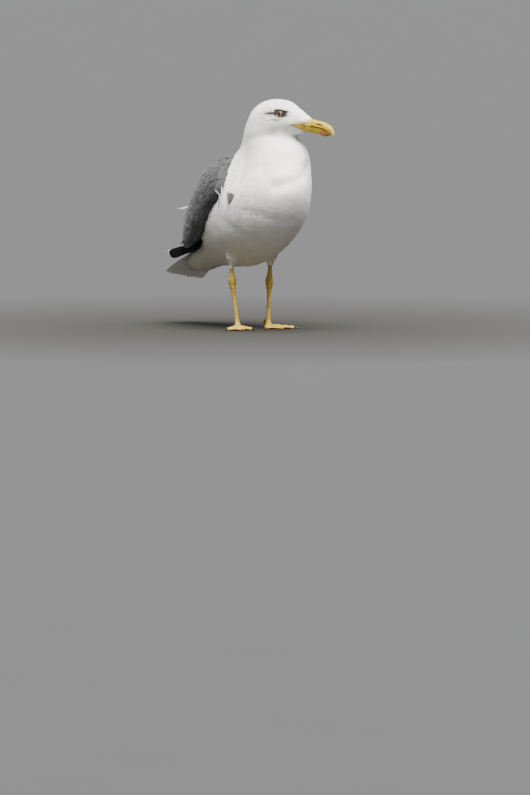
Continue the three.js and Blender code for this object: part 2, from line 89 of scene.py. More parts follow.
def curve(table, x):
    """The value at x of a smooth curve through (x, value) pairs; the values may be vectors."""
    xs = np.array([row[0] for row in table], float)
    ys = np.array([row[1] for row in table], float)
    flat = ys.reshape(len(xs), -1)
    slope = np.empty_like(flat)
    slope[1:-1] = (flat[2:] - flat[:-2]) / (xs[2:] - xs[:-2])[:, None]
    slope[0] = (flat[1] - flat[0]) / (xs[1] - xs[0])
    slope[-1] = (flat[-1] - flat[-2]) / (xs[-1] - xs[-2])
    x = np.asarray(x, float)
    i = np.clip(np.searchsorted(xs, x.ravel(), side="right") - 1, 0, len(xs) - 2)
    w = (xs[i + 1] - xs[i])[:, None]
    t = np.clip((x.ravel()[:, None] - xs[i][:, None]) / w, 0, 1)
    rise = (1 + 2 * t) * (1 - t) ** 2 * flat[i] + t * t * (3 - 2 * t) * flat[i + 1]
    out = rise + w * t * (1 - t) * ((1 - t) * slope[i] - t * slope[i + 1])
    return out.reshape(x.shape + ys.shape[1:])


HEAD_AXES = frame_of(21, 0)
HEAD_CENTRE = at(58, 2.3, 328)


def head_point(along, left, up):
    """The place of numbers or arrays measured along the bill, to the head's left, and up."""
    along, left, up = (np.asarray(v)[..., None] for v in (along, left, up))
    return HEAD_CENTRE + along * HEAD_AXES[0] + left * HEAD_AXES[1] + up * HEAD_AXES[2]


def in_head(p):
    """Places as head_point has them: along, left and up."""
    return (p - HEAD_CENTRE) @ HEAD_AXES.T


EYE_CENTRE = {s: head_point(18.5, s * 20.0, 8.0) for s in SIDES.values()}
eye_box = np.array([list(c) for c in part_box("eye_left")])
SHIFT = eye_box.mean(0) / MM - EYE_CENTRE[1]  # from these millimetres to the frame's


# ---------------------------------------------------------------- distance fields
def egg(centre, axes, front, back, half, dorsal, ventral):
    """An ellipsoid with its own radius forward, back, sideways, up and down."""
    def field(p):
        d = (p - centre) @ axes.T
        r = np.empty_like(d)
        r[:, 0] = np.where(d[:, 0] > 0, front, back)
        r[:, 1] = half
        r[:, 2] = np.where(d[:, 2] > 0, dorsal, ventral)
        q = d / r
        k = np.linalg.norm(q, axis=1)
        return k * (k - 1) / np.maximum(np.linalg.norm(q / r, axis=1), 1e-6)

    return field


def cone(a, ra, b, rb):
    """A rounded cone from a (radius ra) to b (radius rb)."""
    axis = b - a

    def field(p):
        t = np.clip((p - a) @ axis / (axis @ axis), 0, 1)
        return np.linalg.norm(p - a - t[:, None] * axis, axis=1) - (ra + (rb - ra) * t)

    return field


def below(point, normal):
    """The half space behind a plane."""
    n = unit(np.asarray(normal, float))
    return lambda p: (p - point) @ n


def soft_min(a, b, soft):
    h = np.maximum(soft - np.abs(a - b), 0) / soft
    return np.minimum(a, b) - h * h * soft / 4


def blend(soft, *fields):
    """All the forms together, rounded where they meet."""
    def field(p):
        value = fields[0](p)
        for other in fields[1:]:
            value = soft_min(value, other(p), soft)
        return value

    return field


def common(soft, *fields):
    """What the forms share, with its edges rounded."""
    outside = blend(soft, *[lambda p, f=f: -f(p) for f in fields])
    return lambda p: -outside(p)


trunk = egg(at(5, 1.5, 178), frame_of(-8, 27), 138, 127, 67, 60, 70)
mantle = egg(at(-22, 0, 206), frame_of(0, 38), 92, 116, 56, 64, 50)
crop = egg(at(67, 4, 256), frame_of(0, 62), 48, 62, 44, 46, 44)
neck = egg(at(38, 1.5, 296), frame_of(8, 0), 43, 45, 36, 48, 84)
puff = egg(at(76, 10, 265), frame_of(0, 0), 30, 30, 30, 30, 30)
undertail = egg(at(-110, 1, 117), frame_of(0, 29), 72, 56, 33, 18, 24)
skull = egg(HEAD_CENTRE, HEAD_AXES, 44, 44, 27, 30.5, 30)
face = cone(head_point(18, 0, -1), 20, head_point(51, 0, -7), 8)
body = blend(30, blend(22, trunk, mantle), undertail, blend(8, blend(16, crop, neck), puff))
outline = blend(14, body, blend(16, skull, face))  # the whole flesh with its coat, as the solids have it

LEGS = {
    -1: {"hip": at(-9, -28, 140), "knee": at(-14, -31, 114), "cuff": at(-16, -31.5, 98),
         "ankle": at(-18, -28.5, 73), "foot": at(-11.5, -22.5, 0), "heading": -28, "spread": 30},
    1: {"hip": at(-3, 33, 140), "knee": at(-8, 36.5, 114), "cuff": at(-10, 38.5, 98),
        "ankle": at(-10, 36.5, 71), "foot": at(-8.5, 33.5, 0), "heading": -6, "spread": 36},
}


def thigh(leg):
    cuff = leg["cuff"] + 0.3 * (leg["cuff"] - leg["knee"])
    return blend(10, cone(leg["hip"], 21, leg["knee"], 8.5), cone(leg["knee"], 8.5, cuff, 4.6))


def wing_frame(side):
    """A folded wing's middle and its axes."""
    return at(-44, side * 20, 198), frame_of(side * 10, 41)


def wing(side, trim=None):
    """The folded wing from its hidden wrist on; trim raises the cut at its rear end, None leaves that out."""
    cuts = [
        below(at(-36, side * 72, 181), at(74, 0, -80)),
        below(at(-1, side * 60, 225), at(1, side * 0.2, 0.22)),
        below(at(-40, side * 9, 200), at(0.068, -side, 0)),
    ]
    if trim is not None:
        cuts.insert(1, below(at(-110, side * 40, 121 + trim), at(0.06, 0, -1)))
    return common(8, egg(*wing_frame(side), 88, 150, 51, 59, 50), *cuts)


wings, wings_short, wings_open = ({s: wing(s, trim) for s in SIDES.values()} for trim in (0.0, 15.0, None))
thighs = {s: thigh(LEGS[s]) for s in SIDES.values()}
snout = egg(head_point(46, 0, -2.2), HEAD_AXES, 15.5, 30, 10.5, 5.6, 6.2)
jaw = egg(head_point(38, 0, -11.5), HEAD_AXES, 15.8, 26, 12, 8, 10.5)
bridge = cone(head_point(41, 0, 1.5), 11.5, head_point(57, 0, -2.2), 5.4)


def coat_depth(p):
    """How deep the coat is: thin on the face, thicker on the body."""
    h = in_head(p)
    away = np.linalg.norm(h * [0.8, 1, 1], axis=1)
    return 0.9 + 1.7 * ramp(away, 30, 85) - 0.45 * ramp(h[:, 0], 22, 45) * ramp(away, 75, 55)


def brow(p):
    """How much is taken off the head for a ridge over each eye, a hollow round it and a full cheek."""
    a, s, u = in_head(p).T
    side = np.abs(s)
    ridge = 1.5 * bump(a, 21, 9) * bump(u, 15.2, 3.2) * ramp(side, 8, 18)
    hollow = 2.0 * bump(a, 19.5, 7.5) * bump(u, 7.6, 5.6) * ramp(side, 10, 18)
    lore = 0.9 * bump(a, 34, 8) * bump(u, 3, 5) * ramp(side, 6, 12)
    cheek = 0.8 * bump(a, 12, 14) * bump(u, -9, 7) * ramp(side, 12, 22)
    forehead = 0.4 * bump(a, 36, 9) * bump(u, 15, 7)
    return hollow + lore + forehead - ridge - cheek


FOLDS = [  # soft creases of the plumage: depth, half-width and a line
    (4.6, 8.0, [(112, 24, 256), (124, 8, 243), (129, -10, 236), (124, -30, 229), (114, -42, 226)]),
    (1.6, 7.0, [(114, -42, 226), (99, -50, 238), (84, -46, 254)]),
    (1.5, 6.0, [(30, -36, 296), (57, -31, 301), (75, -20, 304)]),
    (1.8, 9.0, [(24, -38, 284), (30, -45, 258), (36, -55, 236)]),
    (1.3, 8.0, [(62, -66, 186), (86, -55, 182), (104, -36, 172), (112, -10, 166)]),
    (1.1, 9.0, [(10, -66, 168), (40, -60, 152), (62, -40, 138)]),
]


def folds(p):
    total = np.zeros(len(p))
    for depth, half, line in FOLDS:
        spots = [at(*spot) for spot in line]
        far = np.min([cone(a, 0, b, 0)(p) for a, b in zip(spots[:-1], spots[1:])], axis=0)
        total = total + depth * bump(far, 0, half)
    return total


def body_skin(p):
    """The skin without wings and thighs."""
    value = outline(p) + coat_depth(p) + brow(p) + folds(p)
    return soft_min(soft_min(soft_min(value, snout(p), 4), jaw(p), 4), bridge(p), 6)


def skin_field(p):
    """The whole skin, under the wings' coverts and the feathers of the thighs too."""
    value = body_skin(p)
    for s in SIDES.values():
        value = soft_min(value, wings_short[s](p) + 3.2, 3)
        value = soft_min(value, thighs[s](p) + 2.4, 7)
    return value


def covered(side):
    """The skin with that side's folded wing left whole to its pointed rear end."""
    return lambda p: soft_min(body_skin(p), np.minimum(wings_short[-side](p), wings_open[side](p)) + 2.4, 3)


def slope_of(field, p, h=0.4):
    """The field's gradient."""
    out = np.empty_like(p)
    for k in range(3):
        step = np.zeros(3)
        step[k] = h
        out[:, k] = (field(p + step) - field(p - step)) / (2 * h)
    return out


def onto(field, p, rounds):
    """Points moved to the field's surface, and the unit normals there."""
    for _ in range(rounds):
        g = slope_of(field, p)
        p = p - g * (field(p) / np.maximum((g * g).sum(1), 0.2))[:, None]
    return p, unit(slope_of(field, p))


def surface_net(field, low, high, cell, rounds):
    """A field's surface as quads: one point in each crossed cell, joined across each crossed edge."""
    low, high = np.asarray(low, float) - 1.5 * cell, np.asarray(high, float) + 2.5 * cell
    axes = [np.arange(low[k], high[k], cell) for k in range(3)]
    grid = np.stack(np.meshgrid(*axes, indexing="ij"), -1).reshape(-1, 3)
    parts = np.array_split(grid, max(len(grid) // 200000, 1))
    value = np.concatenate([field(part) for part in parts]).reshape([len(a) for a in axes])
    cells = tuple(len(a) - 1 for a in axes)
    total, count = np.zeros(cells + (3,)), np.zeros(cells)

    def corner(c):
        return value[tuple(slice(c[k], cells[k] + c[k]) for k in range(3))]

    for a in np.ndindex(2, 2, 2):
        for k in [k for k in range(3) if not a[k]]:
            b = tuple(1 if m == k else a[m] for m in range(3))
            va, vb = corner(a), corner(b)
            cut = (va < 0) != (vb < 0)
            t = np.where(cut, va / np.where(cut, va - vb, 1), 0)
            for m in range(3):
                total[..., m] += cut * (a[m] + (t if m == k else 0))
            count += cut
    active = count > 0
    index = np.full(cells, -1)
    index[active] = np.arange(active.sum())
    points = low + (np.argwhere(active) + total[active] / count[active][:, None]) * cell
    quads = []
    inside = value < 0
    one = np.eye(3, dtype=int)
    for k in range(3):
        here, there = (inside[tuple(span if m == k else slice(1, -1) for m in range(3))]
                       for span in (slice(0, -1), slice(1, None)))
        base = np.argwhere(here != there) + 1 - one[k]
        u, v = one[(k + 1) % 3], one[(k + 2) % 3]
        quad = np.stack([index[tuple(r.T)] for r in (base, base - u, base - u - v, base - v)], 1)
        outward = inside[tuple(base.T)]
        quad[~outward] = quad[~outward][:, ::-1]
        quads.append(quad)
    points, normals = onto(field, points, rounds)
    return points, np.concatenate(quads), normals


# ---------------------------------------------------------------- meshes
def placed(name, data):
    """A new object in the scene."""
    ob = bpy.data.objects.new(name, data)
    bpy.context.scene.collection.objects.link(ob)
    return ob


def make_mesh(name, points, faces, tint, vane=None, normals=None, uv=None):
    """A mesh object of one or more arrays of faces. points in millimetres; the rest are per vertex."""
    groups = faces if isinstance(faces, list) else [faces]
    sizes = np.concatenate([np.full(len(g), g.shape[1], np.int32) for g in groups])
    corners = np.concatenate([np.asarray(g, np.int32).ravel() for g in groups])
    me = bpy.data.meshes.new(name)
    me.vertices.add(len(points))
    me.vertices.foreach_set("co", ((points + SHIFT) * MM).astype(np.float32).ravel())
    me.loops.add(len(corners))
    me.loops.foreach_set("vertex_index", corners)
    me.polygons.add(len(sizes))
    me.polygons.foreach_set("loop_start", (np.cumsum(sizes) - sizes).astype(np.int32))
    me.polygons.foreach_set("loop_total", sizes)
    me.polygons.foreach_set("use_smooth", np.full(len(sizes), True))
    me.update(calc_edges=True)
    rgba = np.ones((len(points), 4), np.float32)
    rgba[:, :3] = tint
    me.attributes.new("tint", "FLOAT_COLOR", "POINT").data.foreach_set("color", rgba.ravel())
    if vane is not None:
        layer = me.attributes.new("vane", "FLOAT_VECTOR", "POINT")
        layer.data.foreach_set("vector", np.asarray(vane, np.float32).ravel())
    if uv is not None:
        layer = me.uv_layers.new(name="OFBake")
        layer.data.foreach_set("uv", np.asarray(uv, np.float32)[corners].ravel())
    if normals is not None:
        me.normals_split_custom_set_from_vertices(unit(normals).astype(np.float32))
    return placed(name, me)


def ring_faces(rows, n, closed=True):
    """Quads between neighbouring rows of n points, going round when closed."""
    r, k = np.arange(rows - 1)[:, None], np.arange(n if closed else n - 1)[None]
    j = (k + 1) % n
    return np.stack([r * n + k, r * n + j, (r + 1) * n + j, (r + 1) * n + k], -1).reshape(-1, 4)


def keep(ob, slot, mat, *nodes):
    """Gives a piece its material and its place in the frame's bookkeeping."""
    ob.data.materials.append(mat)
    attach(ob, "root")
    if nodes:
        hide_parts(*nodes)


# ---------------------------------------------------------------- materials
def added(tree, kind, output, inputs, **options):
    """An output of a new shader node; each input is given a value or another node's output."""
    made = tree.nodes.new("ShaderNode" + kind)
    for key, value in options.items():
        setattr(made, key, value)
    for key, value in inputs.items():
        if isinstance(value, bpy.types.NodeSocket):
            tree.links.new(value, made.inputs[key])
        else:
            made.inputs[key].default_value = value
    return made.outputs[output]


def multiply(tree, colour, factor):
    inputs = {"Factor": 1, 6: colour, 7: factor}
    return added(tree, "Mix", 2, inputs, data_type="RGBA", blend_type="MULTIPLY")


def ranged(tree, value, low, high, start=0.0, end=1.0):
    inputs = {"Value": value, "From Min": start, "From Max": end, "To Min": low, "To Max": high}
    return added(tree, "MapRange", "Result", inputs)


def place_in(tree):
    return added(tree, "TexCoord", "Object", {})


def noise(tree, scale, detail=3.0, vector=None, stretch=None):
    if vector is None:
        vector = place_in(tree)
    if stretch:
        vector = added(tree, "Mapping", "Vector", {"Vector": vector, "Scale": stretch})
    return added(tree, "TexNoise", "Fac", {"Vector": vector, "Scale": scale, "Detail": detail})


def tint_of(tree):
    return added(tree, "Attribute", "Color", {}, attribute_name="tint")


def vane_of(tree):
    return added(tree, "Attribute", "Vector", {}, attribute_name="vane")


def material(name, paint, **plain):
    """A material whose colour, roughness and bump come from paint; plain sets other inputs by name."""
    mat = bpy.data.materials.new(name)
    mat.use_nodes = True
    tree = mat.node_tree
    surface = tree.nodes["Principled BSDF"]
    colour, roughness, relief = paint(tree)
    tree.links.new(colour, surface.inputs["Base Color"])
    tree.links.new(roughness, surface.inputs["Roughness"])
    if relief:
        inputs = dict(zip(("Height", "Strength", "Distance"), relief))
        tree.links.new(added(tree, "Bump", "Normal", inputs), surface.inputs["Normal"])
    for key, value in plain.items():
        surface.inputs[key.replace("_", " ")].default_value = value
    return mat


def plumage_material(name, roughness, sheen, streak, gloss=0.3):
    """Feathers: the tint of each one, with fine streaks along its barbs."""
    def paint(tree):
        fine = noise(tree, 1.0, 2, vane_of(tree), (1.0, 0.18, 1.0))
        streaks = ranged(tree, fine, 1 - streak, 1 + streak * 0.6, 0.3, 0.7)
        shade = multiply(tree, streaks, ranged(tree, noise(tree, 55, 2), 0.94, 1.04, 0.3, 0.7))
        rough = ranged(tree, fine, roughness - 0.06, roughness + 0.06, 0.3, 0.7)
        return multiply(tree, tint_of(tree), shade), rough, (fine, 0.35, 0.0004)

    return material(name, paint, Sheen_Weight=sheen, Sheen_Roughness=0.5, Specular_IOR_Level=gloss)


white_coat = plumage_material("white_plumage", 0.82, 0.25, 0.05)
grey_coat = plumage_material("grey_plumage", 0.72, 0.12, 0.22)
black_coat = plumage_material("flight_plumage", 0.75, 0.0, 0.2, 0.04)

# ---------------------------------------------------------------- markings
WHITE = np.array([0.82, 0.812, 0.782])
GREY = np.array([0.086, 0.087, 0.092])
DUSKY_AND_SHADE = np.array([0.024, 0.017, 0.013])
BLACK = np.array([0.0025, 0.0025, 0.0028])
PALE = WHITE * 0.8


def wing_share(p):
    """1 where the folded wing or the mantle between the wings is outermost, 0 on white plumage."""
    left, forward, up = p[:, 0], -p[:, 1], p[:, 2]
    w = np.minimum(wings[-1](p), wings[1](p)) - outline(p)
    ahead = forward + 0.2 * np.abs(left) + 0.22 * up - 60.5
    above = (p - at(5, 1.5, 178)) @ frame_of(-8, 27)[2]
    back = ramp(above, 22, 30) * ramp(np.abs(left), 48, 34) * ramp(forward, -104, -92)
    return np.maximum(ramp(w, 0.8, -0.8), back) * ramp(ahead, 1.5, -1.5)


def dusk_and_shade(p):
    """The dusky marks of the head, with painted shade round the eye: a dark patch before the eye, a streak
    behind it, a ring over the eye that is partly dusky and partly painted shade, a painted shade line under
    the brow ridge and a painted shadow below.
    """
    a, s, u = in_head(p).T
    side = ramp(np.abs(s), 9, 16)
    before = 1.35 * bump(np.hypot((a - 26.0) / 1.3, u - 7.2), 0, 4.2)
    # painted shadow: a dark band below the eye
    under = 0.85 * bump(a, 15.0, 8.0) * bump(u, -0.8, 1.8)
    # a dark ring over the eye: partly its dusky marking, partly painted shade under the brow
    eye_ring_dusk_and_shade = 1.0 * bump(np.hypot(a - 18.5, u - 8), 6.4, 1.7) * ramp(u, 2, 6)
    behind = 1.15 * bump(u, 9.4 + 0.03 * (a - 10), 2.6) * ramp(a, -20, 4) * ramp(a, 20, 12)
    # painted shade: a dark line under the brow ridge above the eye
    painted_brow_shade = 1.1 * bump(u, 13.4 - 0.12 * (a - 18), 1.7) * ramp(a, 6, 12) * ramp(a, 36, 28)
    veil = 0.16 * bump(a, 14, 18) * bump(u, 14, 6) + 0.07 * bump(a, -8, 16) * bump(u, 0, 14)
    return np.clip(side * (before + under + eye_ring_dusk_and_shade + behind + painted_brow_shade + veil), 0, 1)


def plumage(p):
    """Tint of skin and feathers at a place. The white is painted darker and more olive towards the bottom:
    painted shade and painted bounce light from below.
    """
    grey = wing_share(p)[:, None]
    warm = 1 - 0.05 * bump(in_head(p)[:, 2], -6, 12)[:, None] * np.array([0, 0.2, 1.0])
    # painted shade and painted bounce light: the white gets darker and more olive towards the bottom
    low = ramp(p[:, 2], 200, 110)[:, None] * (1 - grey)
    white = WHITE * warm * (1 - low * np.array([0.16, 0.17, 0.28]))
    return mixed(mixed(white, GREY, grey), DUSKY_AND_SHADE, dusk_and_shade(p)[:, None])


# ---------------------------------------------------------------- the lie of the coat
LIE = [  # a place, the way feathers lie there, and how far that reaches
    (head_point(48, 0, -6), -HEAD_AXES[0], 22),
    (head_point(12, 0, 8), -HEAD_AXES[0] - 0.12 * HEAD_AXES[2], 30),
    (head_point(-30, 0, -6), at(-0.45, -0.1, -1), 26),
    (head_point(20, 0, -26), at(-0.6, -0.15, -0.8), 22),
    (at(38, 1, 285), at(-0.12, 0, -1), 30),
    (at(75, 4, 262), at(-0.05, 0, -1), 34),
    (at(85, 4, 215), at(-0.5, 0, -0.9), 36),
    (at(40, 0, 170), at(-1, 0, -0.55), 48),
    (at(-10, 0, 240), at(-1, 0, -0.95), 36),
    (at(-50, 0, 205), at(-1, 0, -0.95), 44),
    (at(-50, 0, 140), at(-1, 0, -0.45), 46),
    (at(-110, 0, 117), at(-1, 0, -0.52), 44),
    (at(-14, -31, 106), at(-0.1, 0, -1), 12),
    (at(-8, 36, 106), at(-0.1, 0, -1), 12),
]


def lie(p, normal):
    """The unit direction in which a feather rooted at p points."""
    total = np.zeros_like(p)
    for place, way, reach in LIE:
        far = ((p - place) ** 2).sum(1) / reach**2
        total += np.exp(-far)[:, None] * unit(way) + 1e-7 * unit(way)
    return flattened(total, normal)


SPINE = [  # the middle line from bill to tail, and which way is up round it
    (head_point(58, 0, -8), head_point(0, 0, 1) - HEAD_CENTRE),
    (head_point(12, 0, 0), at(-0.1, 0, 1)),
    (at(34, 0, 290), at(-1, 0, 0.2)),
    (at(18, 0, 215), at(-1, 0, 0.6)),
    (at(-70, 0, 140), at(-0.4, 0, 1)),
    (at(-205, 0, 75), at(-0.4, 0, 1)),
]


def unrolled(p):
    """The skin unrolled round the middle line: distance along it, and the angle round it."""
    best = np.full(len(p), 1e9)
    out = np.zeros((len(p), 2))
    start = 0.0
    for (a, ua), (b, ub) in zip(SPINE[:-1], SPINE[1:]):
        ua, ub = unit(ua), unit(ub)
        axis = b - a
        t = np.clip((p - a) @ axis / (axis @ axis), 0, 1)
        off = p - a - t[:, None] * axis
        up = ua + (ub - ua) * t[:, None]
        up = unit(up - (up @ axis)[:, None] * axis / (axis @ axis))
        side = np.cross(unit(axis), up)
        far = np.linalg.norm(off, axis=1)
        near = far < best
        angle = np.arctan2((off * side).sum(1), -(off * up).sum(1))
        best = np.where(near, far, best)
        out[near] = np.stack([start + t * np.linalg.norm(axis), angle], 1)[near]
        start += np.linalg.norm(axis)
    return out


def patch_places(root):
    """Where each root lies on the unrolled skin, stretched to fill the map."""
    flat = unrolled(root)
    low, high = flat.min(0), flat.max(0)
    return 0.01 + 0.98 * (flat - low) / np.maximum(high - low, 1e-6)


def thinned(points, spacing):
    """The indices of points that keep their spacing from each other, in the order given."""
    cell = float(spacing.max())
    keys = np.floor(points / cell).astype(int).tolist()
    grid, kept = {}, []
    for i, ((kx, ky, kz), (x, y, z), r2) in enumerate(zip(keys, points.tolist(), (spacing**2).tolist())):
        near = (
            spot
            for a in (-1, 0, 1) for b in (-1, 0, 1) for c in (-1, 0, 1)
            for spot in grid.get((kx + a, ky + b, kz + c), ())
        )
        if all((x - u) ** 2 + (y - v) ** 2 + (z - w) ** 2 >= r2 for u, v, w in near):
            grid.setdefault((kx, ky, kz), []).append((x, y, z))
            kept.append(i)
    return np.array(kept)


def sprinkled(points, quads, density):
    """Random places on quads, density(place) of them to a square millimetre."""
    a, b, c, d = (points[quads[:, k]] for k in range(4))
    area = 0.5 * np.linalg.norm(np.cross(c - a, d - b), axis=1)
    count = RNG.poisson(area * density((a + b + c + d) / 4))
    pick = np.repeat(np.arange(len(quads)), count)
    u, v = RNG.random((2, len(pick), 1))
    place = (a[pick] * (1 - u) + b[pick] * u) * (1 - v) + (d[pick] * (1 - u) + c[pick] * u) * v
    return place[RNG.permutation(len(place))]


# ---------------------------------------------------------------- feathers
def walked(field, root, way, length, steps):
    """Stations along each feather as it follows the skin: places, normals and directions."""
    place, normal = onto(field, root, 1)
    stations = [(place, normal, flattened(way, normal))]
    for _ in range(steps - 1):
        place, normal, way = stations[-1]
        place, normal = onto(field, place + way * (length / (steps - 1))[:, None], 1)
        stations.append((place, normal, flattened(way, normal)))
    return [np.stack(part, 1) for part in zip(*stations)]


def ended(field, root, way, length, floor, shortest):
    """Which feathers keep their shortest length above the floor, and all lengths cut to stay above it."""
    steps = 12
    under = np.cumsum(walked(field, root, way, length, steps)[0][:, :, 2] < floor, axis=1) > 0
    reach = (~under).sum(1) - 1
    length = length * np.where(under.any(1), reach / (steps - 1), 1)
    return length > shortest, length


def sampled(stations, s):
    """Values at fractions s (N, ...) of stations (N, K, 3)."""
    k = stations.shape[1] - 1
    x = np.clip(s, 0, 1) * k
    i = np.minimum(x.astype(int), k - 1)
    f = (x - i)[..., None]
    n = np.arange(len(stations)).reshape((-1,) + (1,) * (s.ndim - 1))
    return mixed(stations[n, i], stations[n, i + 1], f)


class Coat:
    """Gathers feathers into one piece."""

    def __init__(self):
        self.count, self.faces, self.parts, self.roots = 0, [], [], []

    def add(self, faces, points, normals, tint, vane, uv, root=None):
        """Feathers with roots share a map of the skin; the others bring their own."""
        self.faces.append(faces + self.count)
        self.parts.append([a.reshape(-1, a.shape[-1]) for a in (points, normals, tint, vane, uv)])
        self.count += len(self.parts[-1][0])
        if root is not None:
            self.roots.append(np.repeat(root, len(self.parts[-1][0]) // len(root), axis=0))

    def build(self, name, slot, mat, *nodes):
        points, normals, tint, vane, uv = (np.concatenate(part) for part in zip(*self.parts))
        if self.roots:
            uv = uv * 0.003 + patch_places(np.concatenate(self.roots))
        ob = make_mesh(name, points, np.concatenate(self.faces), np.clip(tint, 0, 1), vane, normals, uv)
        keep(ob, slot, mat, *nodes)


def tufts(coat, field, root, way, length, width, lift, strips, tint, spread=0.45, loose=0.0, curl=0.42,
          marked=None):
    """Soft feathers: fans of thin overlapping barbs that follow the skin and fray at their rounded tips."""
    n = len(root)
    stations = walked(field, root, way, length, 4)
    L, W, H = (v[:, None, None] for v in (length, width, lift))
    across = np.linspace(-1, 1, strips)[None] + RNG.normal(0, 0.35 / strips, (n, strips))
    end = 1 - 0.30 * across**2 - RNG.random((n, strips)) ** 2 * 0.28
    across = across[..., None]
    s = end[:, :, None] * np.array([0, 0.42, 0.78, 1.0])  # (n, strips, 4)
    thin = np.array([0.8, 0.95, 0.72, 0.05])
    P, N, T = (sampled(part, s) for part in stations)
    B = np.cross(N, T)
    middle = across * (0.22 + 0.78 * ramp(s, 0, 0.75)) * W / 2
    middle += RNG.normal(0, spread * 0.25, (n, strips, 1)) * s * (W / strips)
    half = thin * (W / strips) * 1.25
    rise = H * (1 - (1 - s) ** 1.5) + 0.12
    rise = rise + RNG.normal(0, 0.05 + loose, (n, strips, 1)) * s * H * 0.5
    rise = rise - curl * s**3 * H
    drop = 0.012 * middle**2 * np.minimum(12 / W, 1.6)
    seed = np.broadcast_to(RNG.random((n, 1, 1)) * 40, s.shape)
    sides = []
    for sign in (-1, 1):
        v = middle + sign * half
        lean = 0.14 * sign + 0.12 * across
        sides.append((
            P + B * v[..., None] + N * (rise - drop)[..., None],
            unit(N - T * (H / L)[..., None] * 0.4 + B * lean[..., None]),
            np.stack([v, s * L, seed], -1),
            np.stack([v / W, s - 0.5], -1),
        ))
    points, normal, vane, uv = (np.stack(pair, 3) for pair in zip(*sides))
    # painted shade: each barb gets darker towards the feather's root, where it lies under the others, plus a
    # little random tone
    shade = (0.93 + 0.07 * s) * (1 + RNG.normal(0, 0.02, (n, strips, 1)))
    own = tint[:, None, None, None]
    if marked:
        own = own * marked(points.reshape(-1, 3)).reshape(points.shape)
    colour = own * shade[..., None, None] * np.ones((1, 1, 1, 2, 1))
    base = (np.arange(n * strips) * 8)[:, None, None] + np.arange(3)[None, :, None] * 2
    faces = (base + np.array([0, 2, 3, 1])[None, None]).reshape(-1, 4)
    coat.add(faces, points, normal, colour, vane, uv, root)


COLUMNS = np.array([-1, -0.72, -0.4, -0.07, 0.07, 0.4, 0.72, 1.0])


def vanes(coat, stations, length, width, lift, tint, tip_tint, tip=0.0, blunt=3, rows=14, cup=0.10, fray=0.03,
          skew=0.0, quill=0.25, root=None, islands=None, edge=1.0, slim=0.6, rounding=0.6):
    """Firm feathers: a cupped vane on a raised quill, with rounded tip and a tip band.

    islands, the low corner and the size of each feather's own area of the map, takes the place of root.
    """
    n, m = len(stations[0]), len(COLUMNS)
    L, W, H = (v[:, None, None] for v in (length, width, lift))
    s = np.linspace(0, 1, rows) ** 0.85
    c = COLUMNS[None, None, :]
    trim = RNG.normal(0, fray, (n, 1, m)) * ramp(s, 0.6, 1)[None, :, None]
    body_half = (np.minimum(1, ((s + 0.01) / 0.16) ** 0.6) * (1 - slim * s**blunt))[None, :, None]
    along = s[None, :, None] * (1 - rounding * W / L * np.abs(c) ** 2.2) + trim
    along = np.broadcast_to(np.clip(along, 0, 1), (n, rows, m))
    P, N, T = (sampled(part, along) for part in stations)
    B = np.cross(N, T)
    v = (c + skew * (1 - c**2)) * (W / 2) * body_half
    rise = H * (1 - (1 - along) ** 1.6)
    rise = rise - cup * (W / 2) * (c * body_half) ** 2 + quill * (np.abs(c) < 0.1) * (1 - 0.8 * along)
    points = P + B * v[..., None] + N * rise[..., None]
    lean = 1.4 * cup * c + 0.25 * np.sign(c) * (np.abs(c) < 0.1)
    normal = unit(N + B * (lean * np.ones_like(v))[..., None] - T * (H / L)[..., None] * 0.55)
    tipness = ramp(along, 1 - tip, 1 - tip * 0.55)[..., None] if tip else np.zeros(along.shape + (1,))
    rim = 1 + (edge - 1) * ramp(np.abs(c), 0.6, 1)[..., None] * np.ones(along.shape + (1,))
    colour = mixed(tint[:, None, None] * rim, tip_tint, tipness)
    vane = np.stack([v, along * L, np.broadcast_to((RNG.random((n, 1, 1)) * 40), v.shape)], -1)
    if islands is None:
        uv = np.stack([v / W, along - 0.5], -1)
    else:
        low, size = (np.reshape(part, (-1, 1, 1, 2)) for part in islands)
        uv = np.stack([np.broadcast_to(c, v.shape) / 2 + 0.5, along / 1.04], -1) * size + low
    faces = ring_faces(rows, m, False)[:, [0, 3, 2, 1]]
    faces = (faces[None] + (np.arange(n) * rows * m)[:, None, None]).reshape(-1, 4)
    coat.add(faces, points, normal, colour, vane, uv, root)


def feather(coat, stations, length, width, lift, tint, tip_tint, **style):
    """One firm feather: its stations are one place, normal and direction for each."""
    numbers = (np.array([number]) for number in (length, width, lift))
    vanes(coat, [part[None] for part in stations], *numbers, tint[None], tip_tint, **style)


def line_ways(line):
    return unit(np.gradient(line, axis=0))


def line_length(line):
    return np.linalg.norm(np.diff(line, axis=0), axis=1).sum()


# ---------------------------------------------------------------- skin
skin_points, skin_quads, skin_normals = surface_net(skin_field, [-80, -125, 70], [80, 175, 362], 3.2, 2)
skin = make_mesh("skin", skin_points, skin_quads, plumage(skin_points), skin_points * 0.3, skin_normals)
keep(skin, "body_plumage", white_coat, "trunk", "neck", "head", "wing_left", "wing_right", "thigh_left",
     "thigh_right")

# ---------------------------------------------------------------- contour feathers
UPPER_EDGE = [(34, -7.6), (44, -6.9), (54, -6.1), (61, -4.8)]
LOWER_EDGE = [(34, -8.0), (44, -12.0), (52.6, -16.3), (60, -17.5)]


def bare_face(p):
    """True where the head has no feathers: the bill's base and the gape."""
    a, s, u = in_head(p).T
    gape = (a > 35.5) & (u < curve(UPPER_EDGE, a)) & (u > curve(LOWER_EDGE, a)) & (np.abs(s) > 3)
    base = (a > 50) & (u < -5.4) & (u > curve(LOWER_EDGE, a))
    front = (a > 60.8) & (u > -4.8)
    chin = (a > 49.5) & (u < -15) & (u > -26)
    return gape | base | front | chin


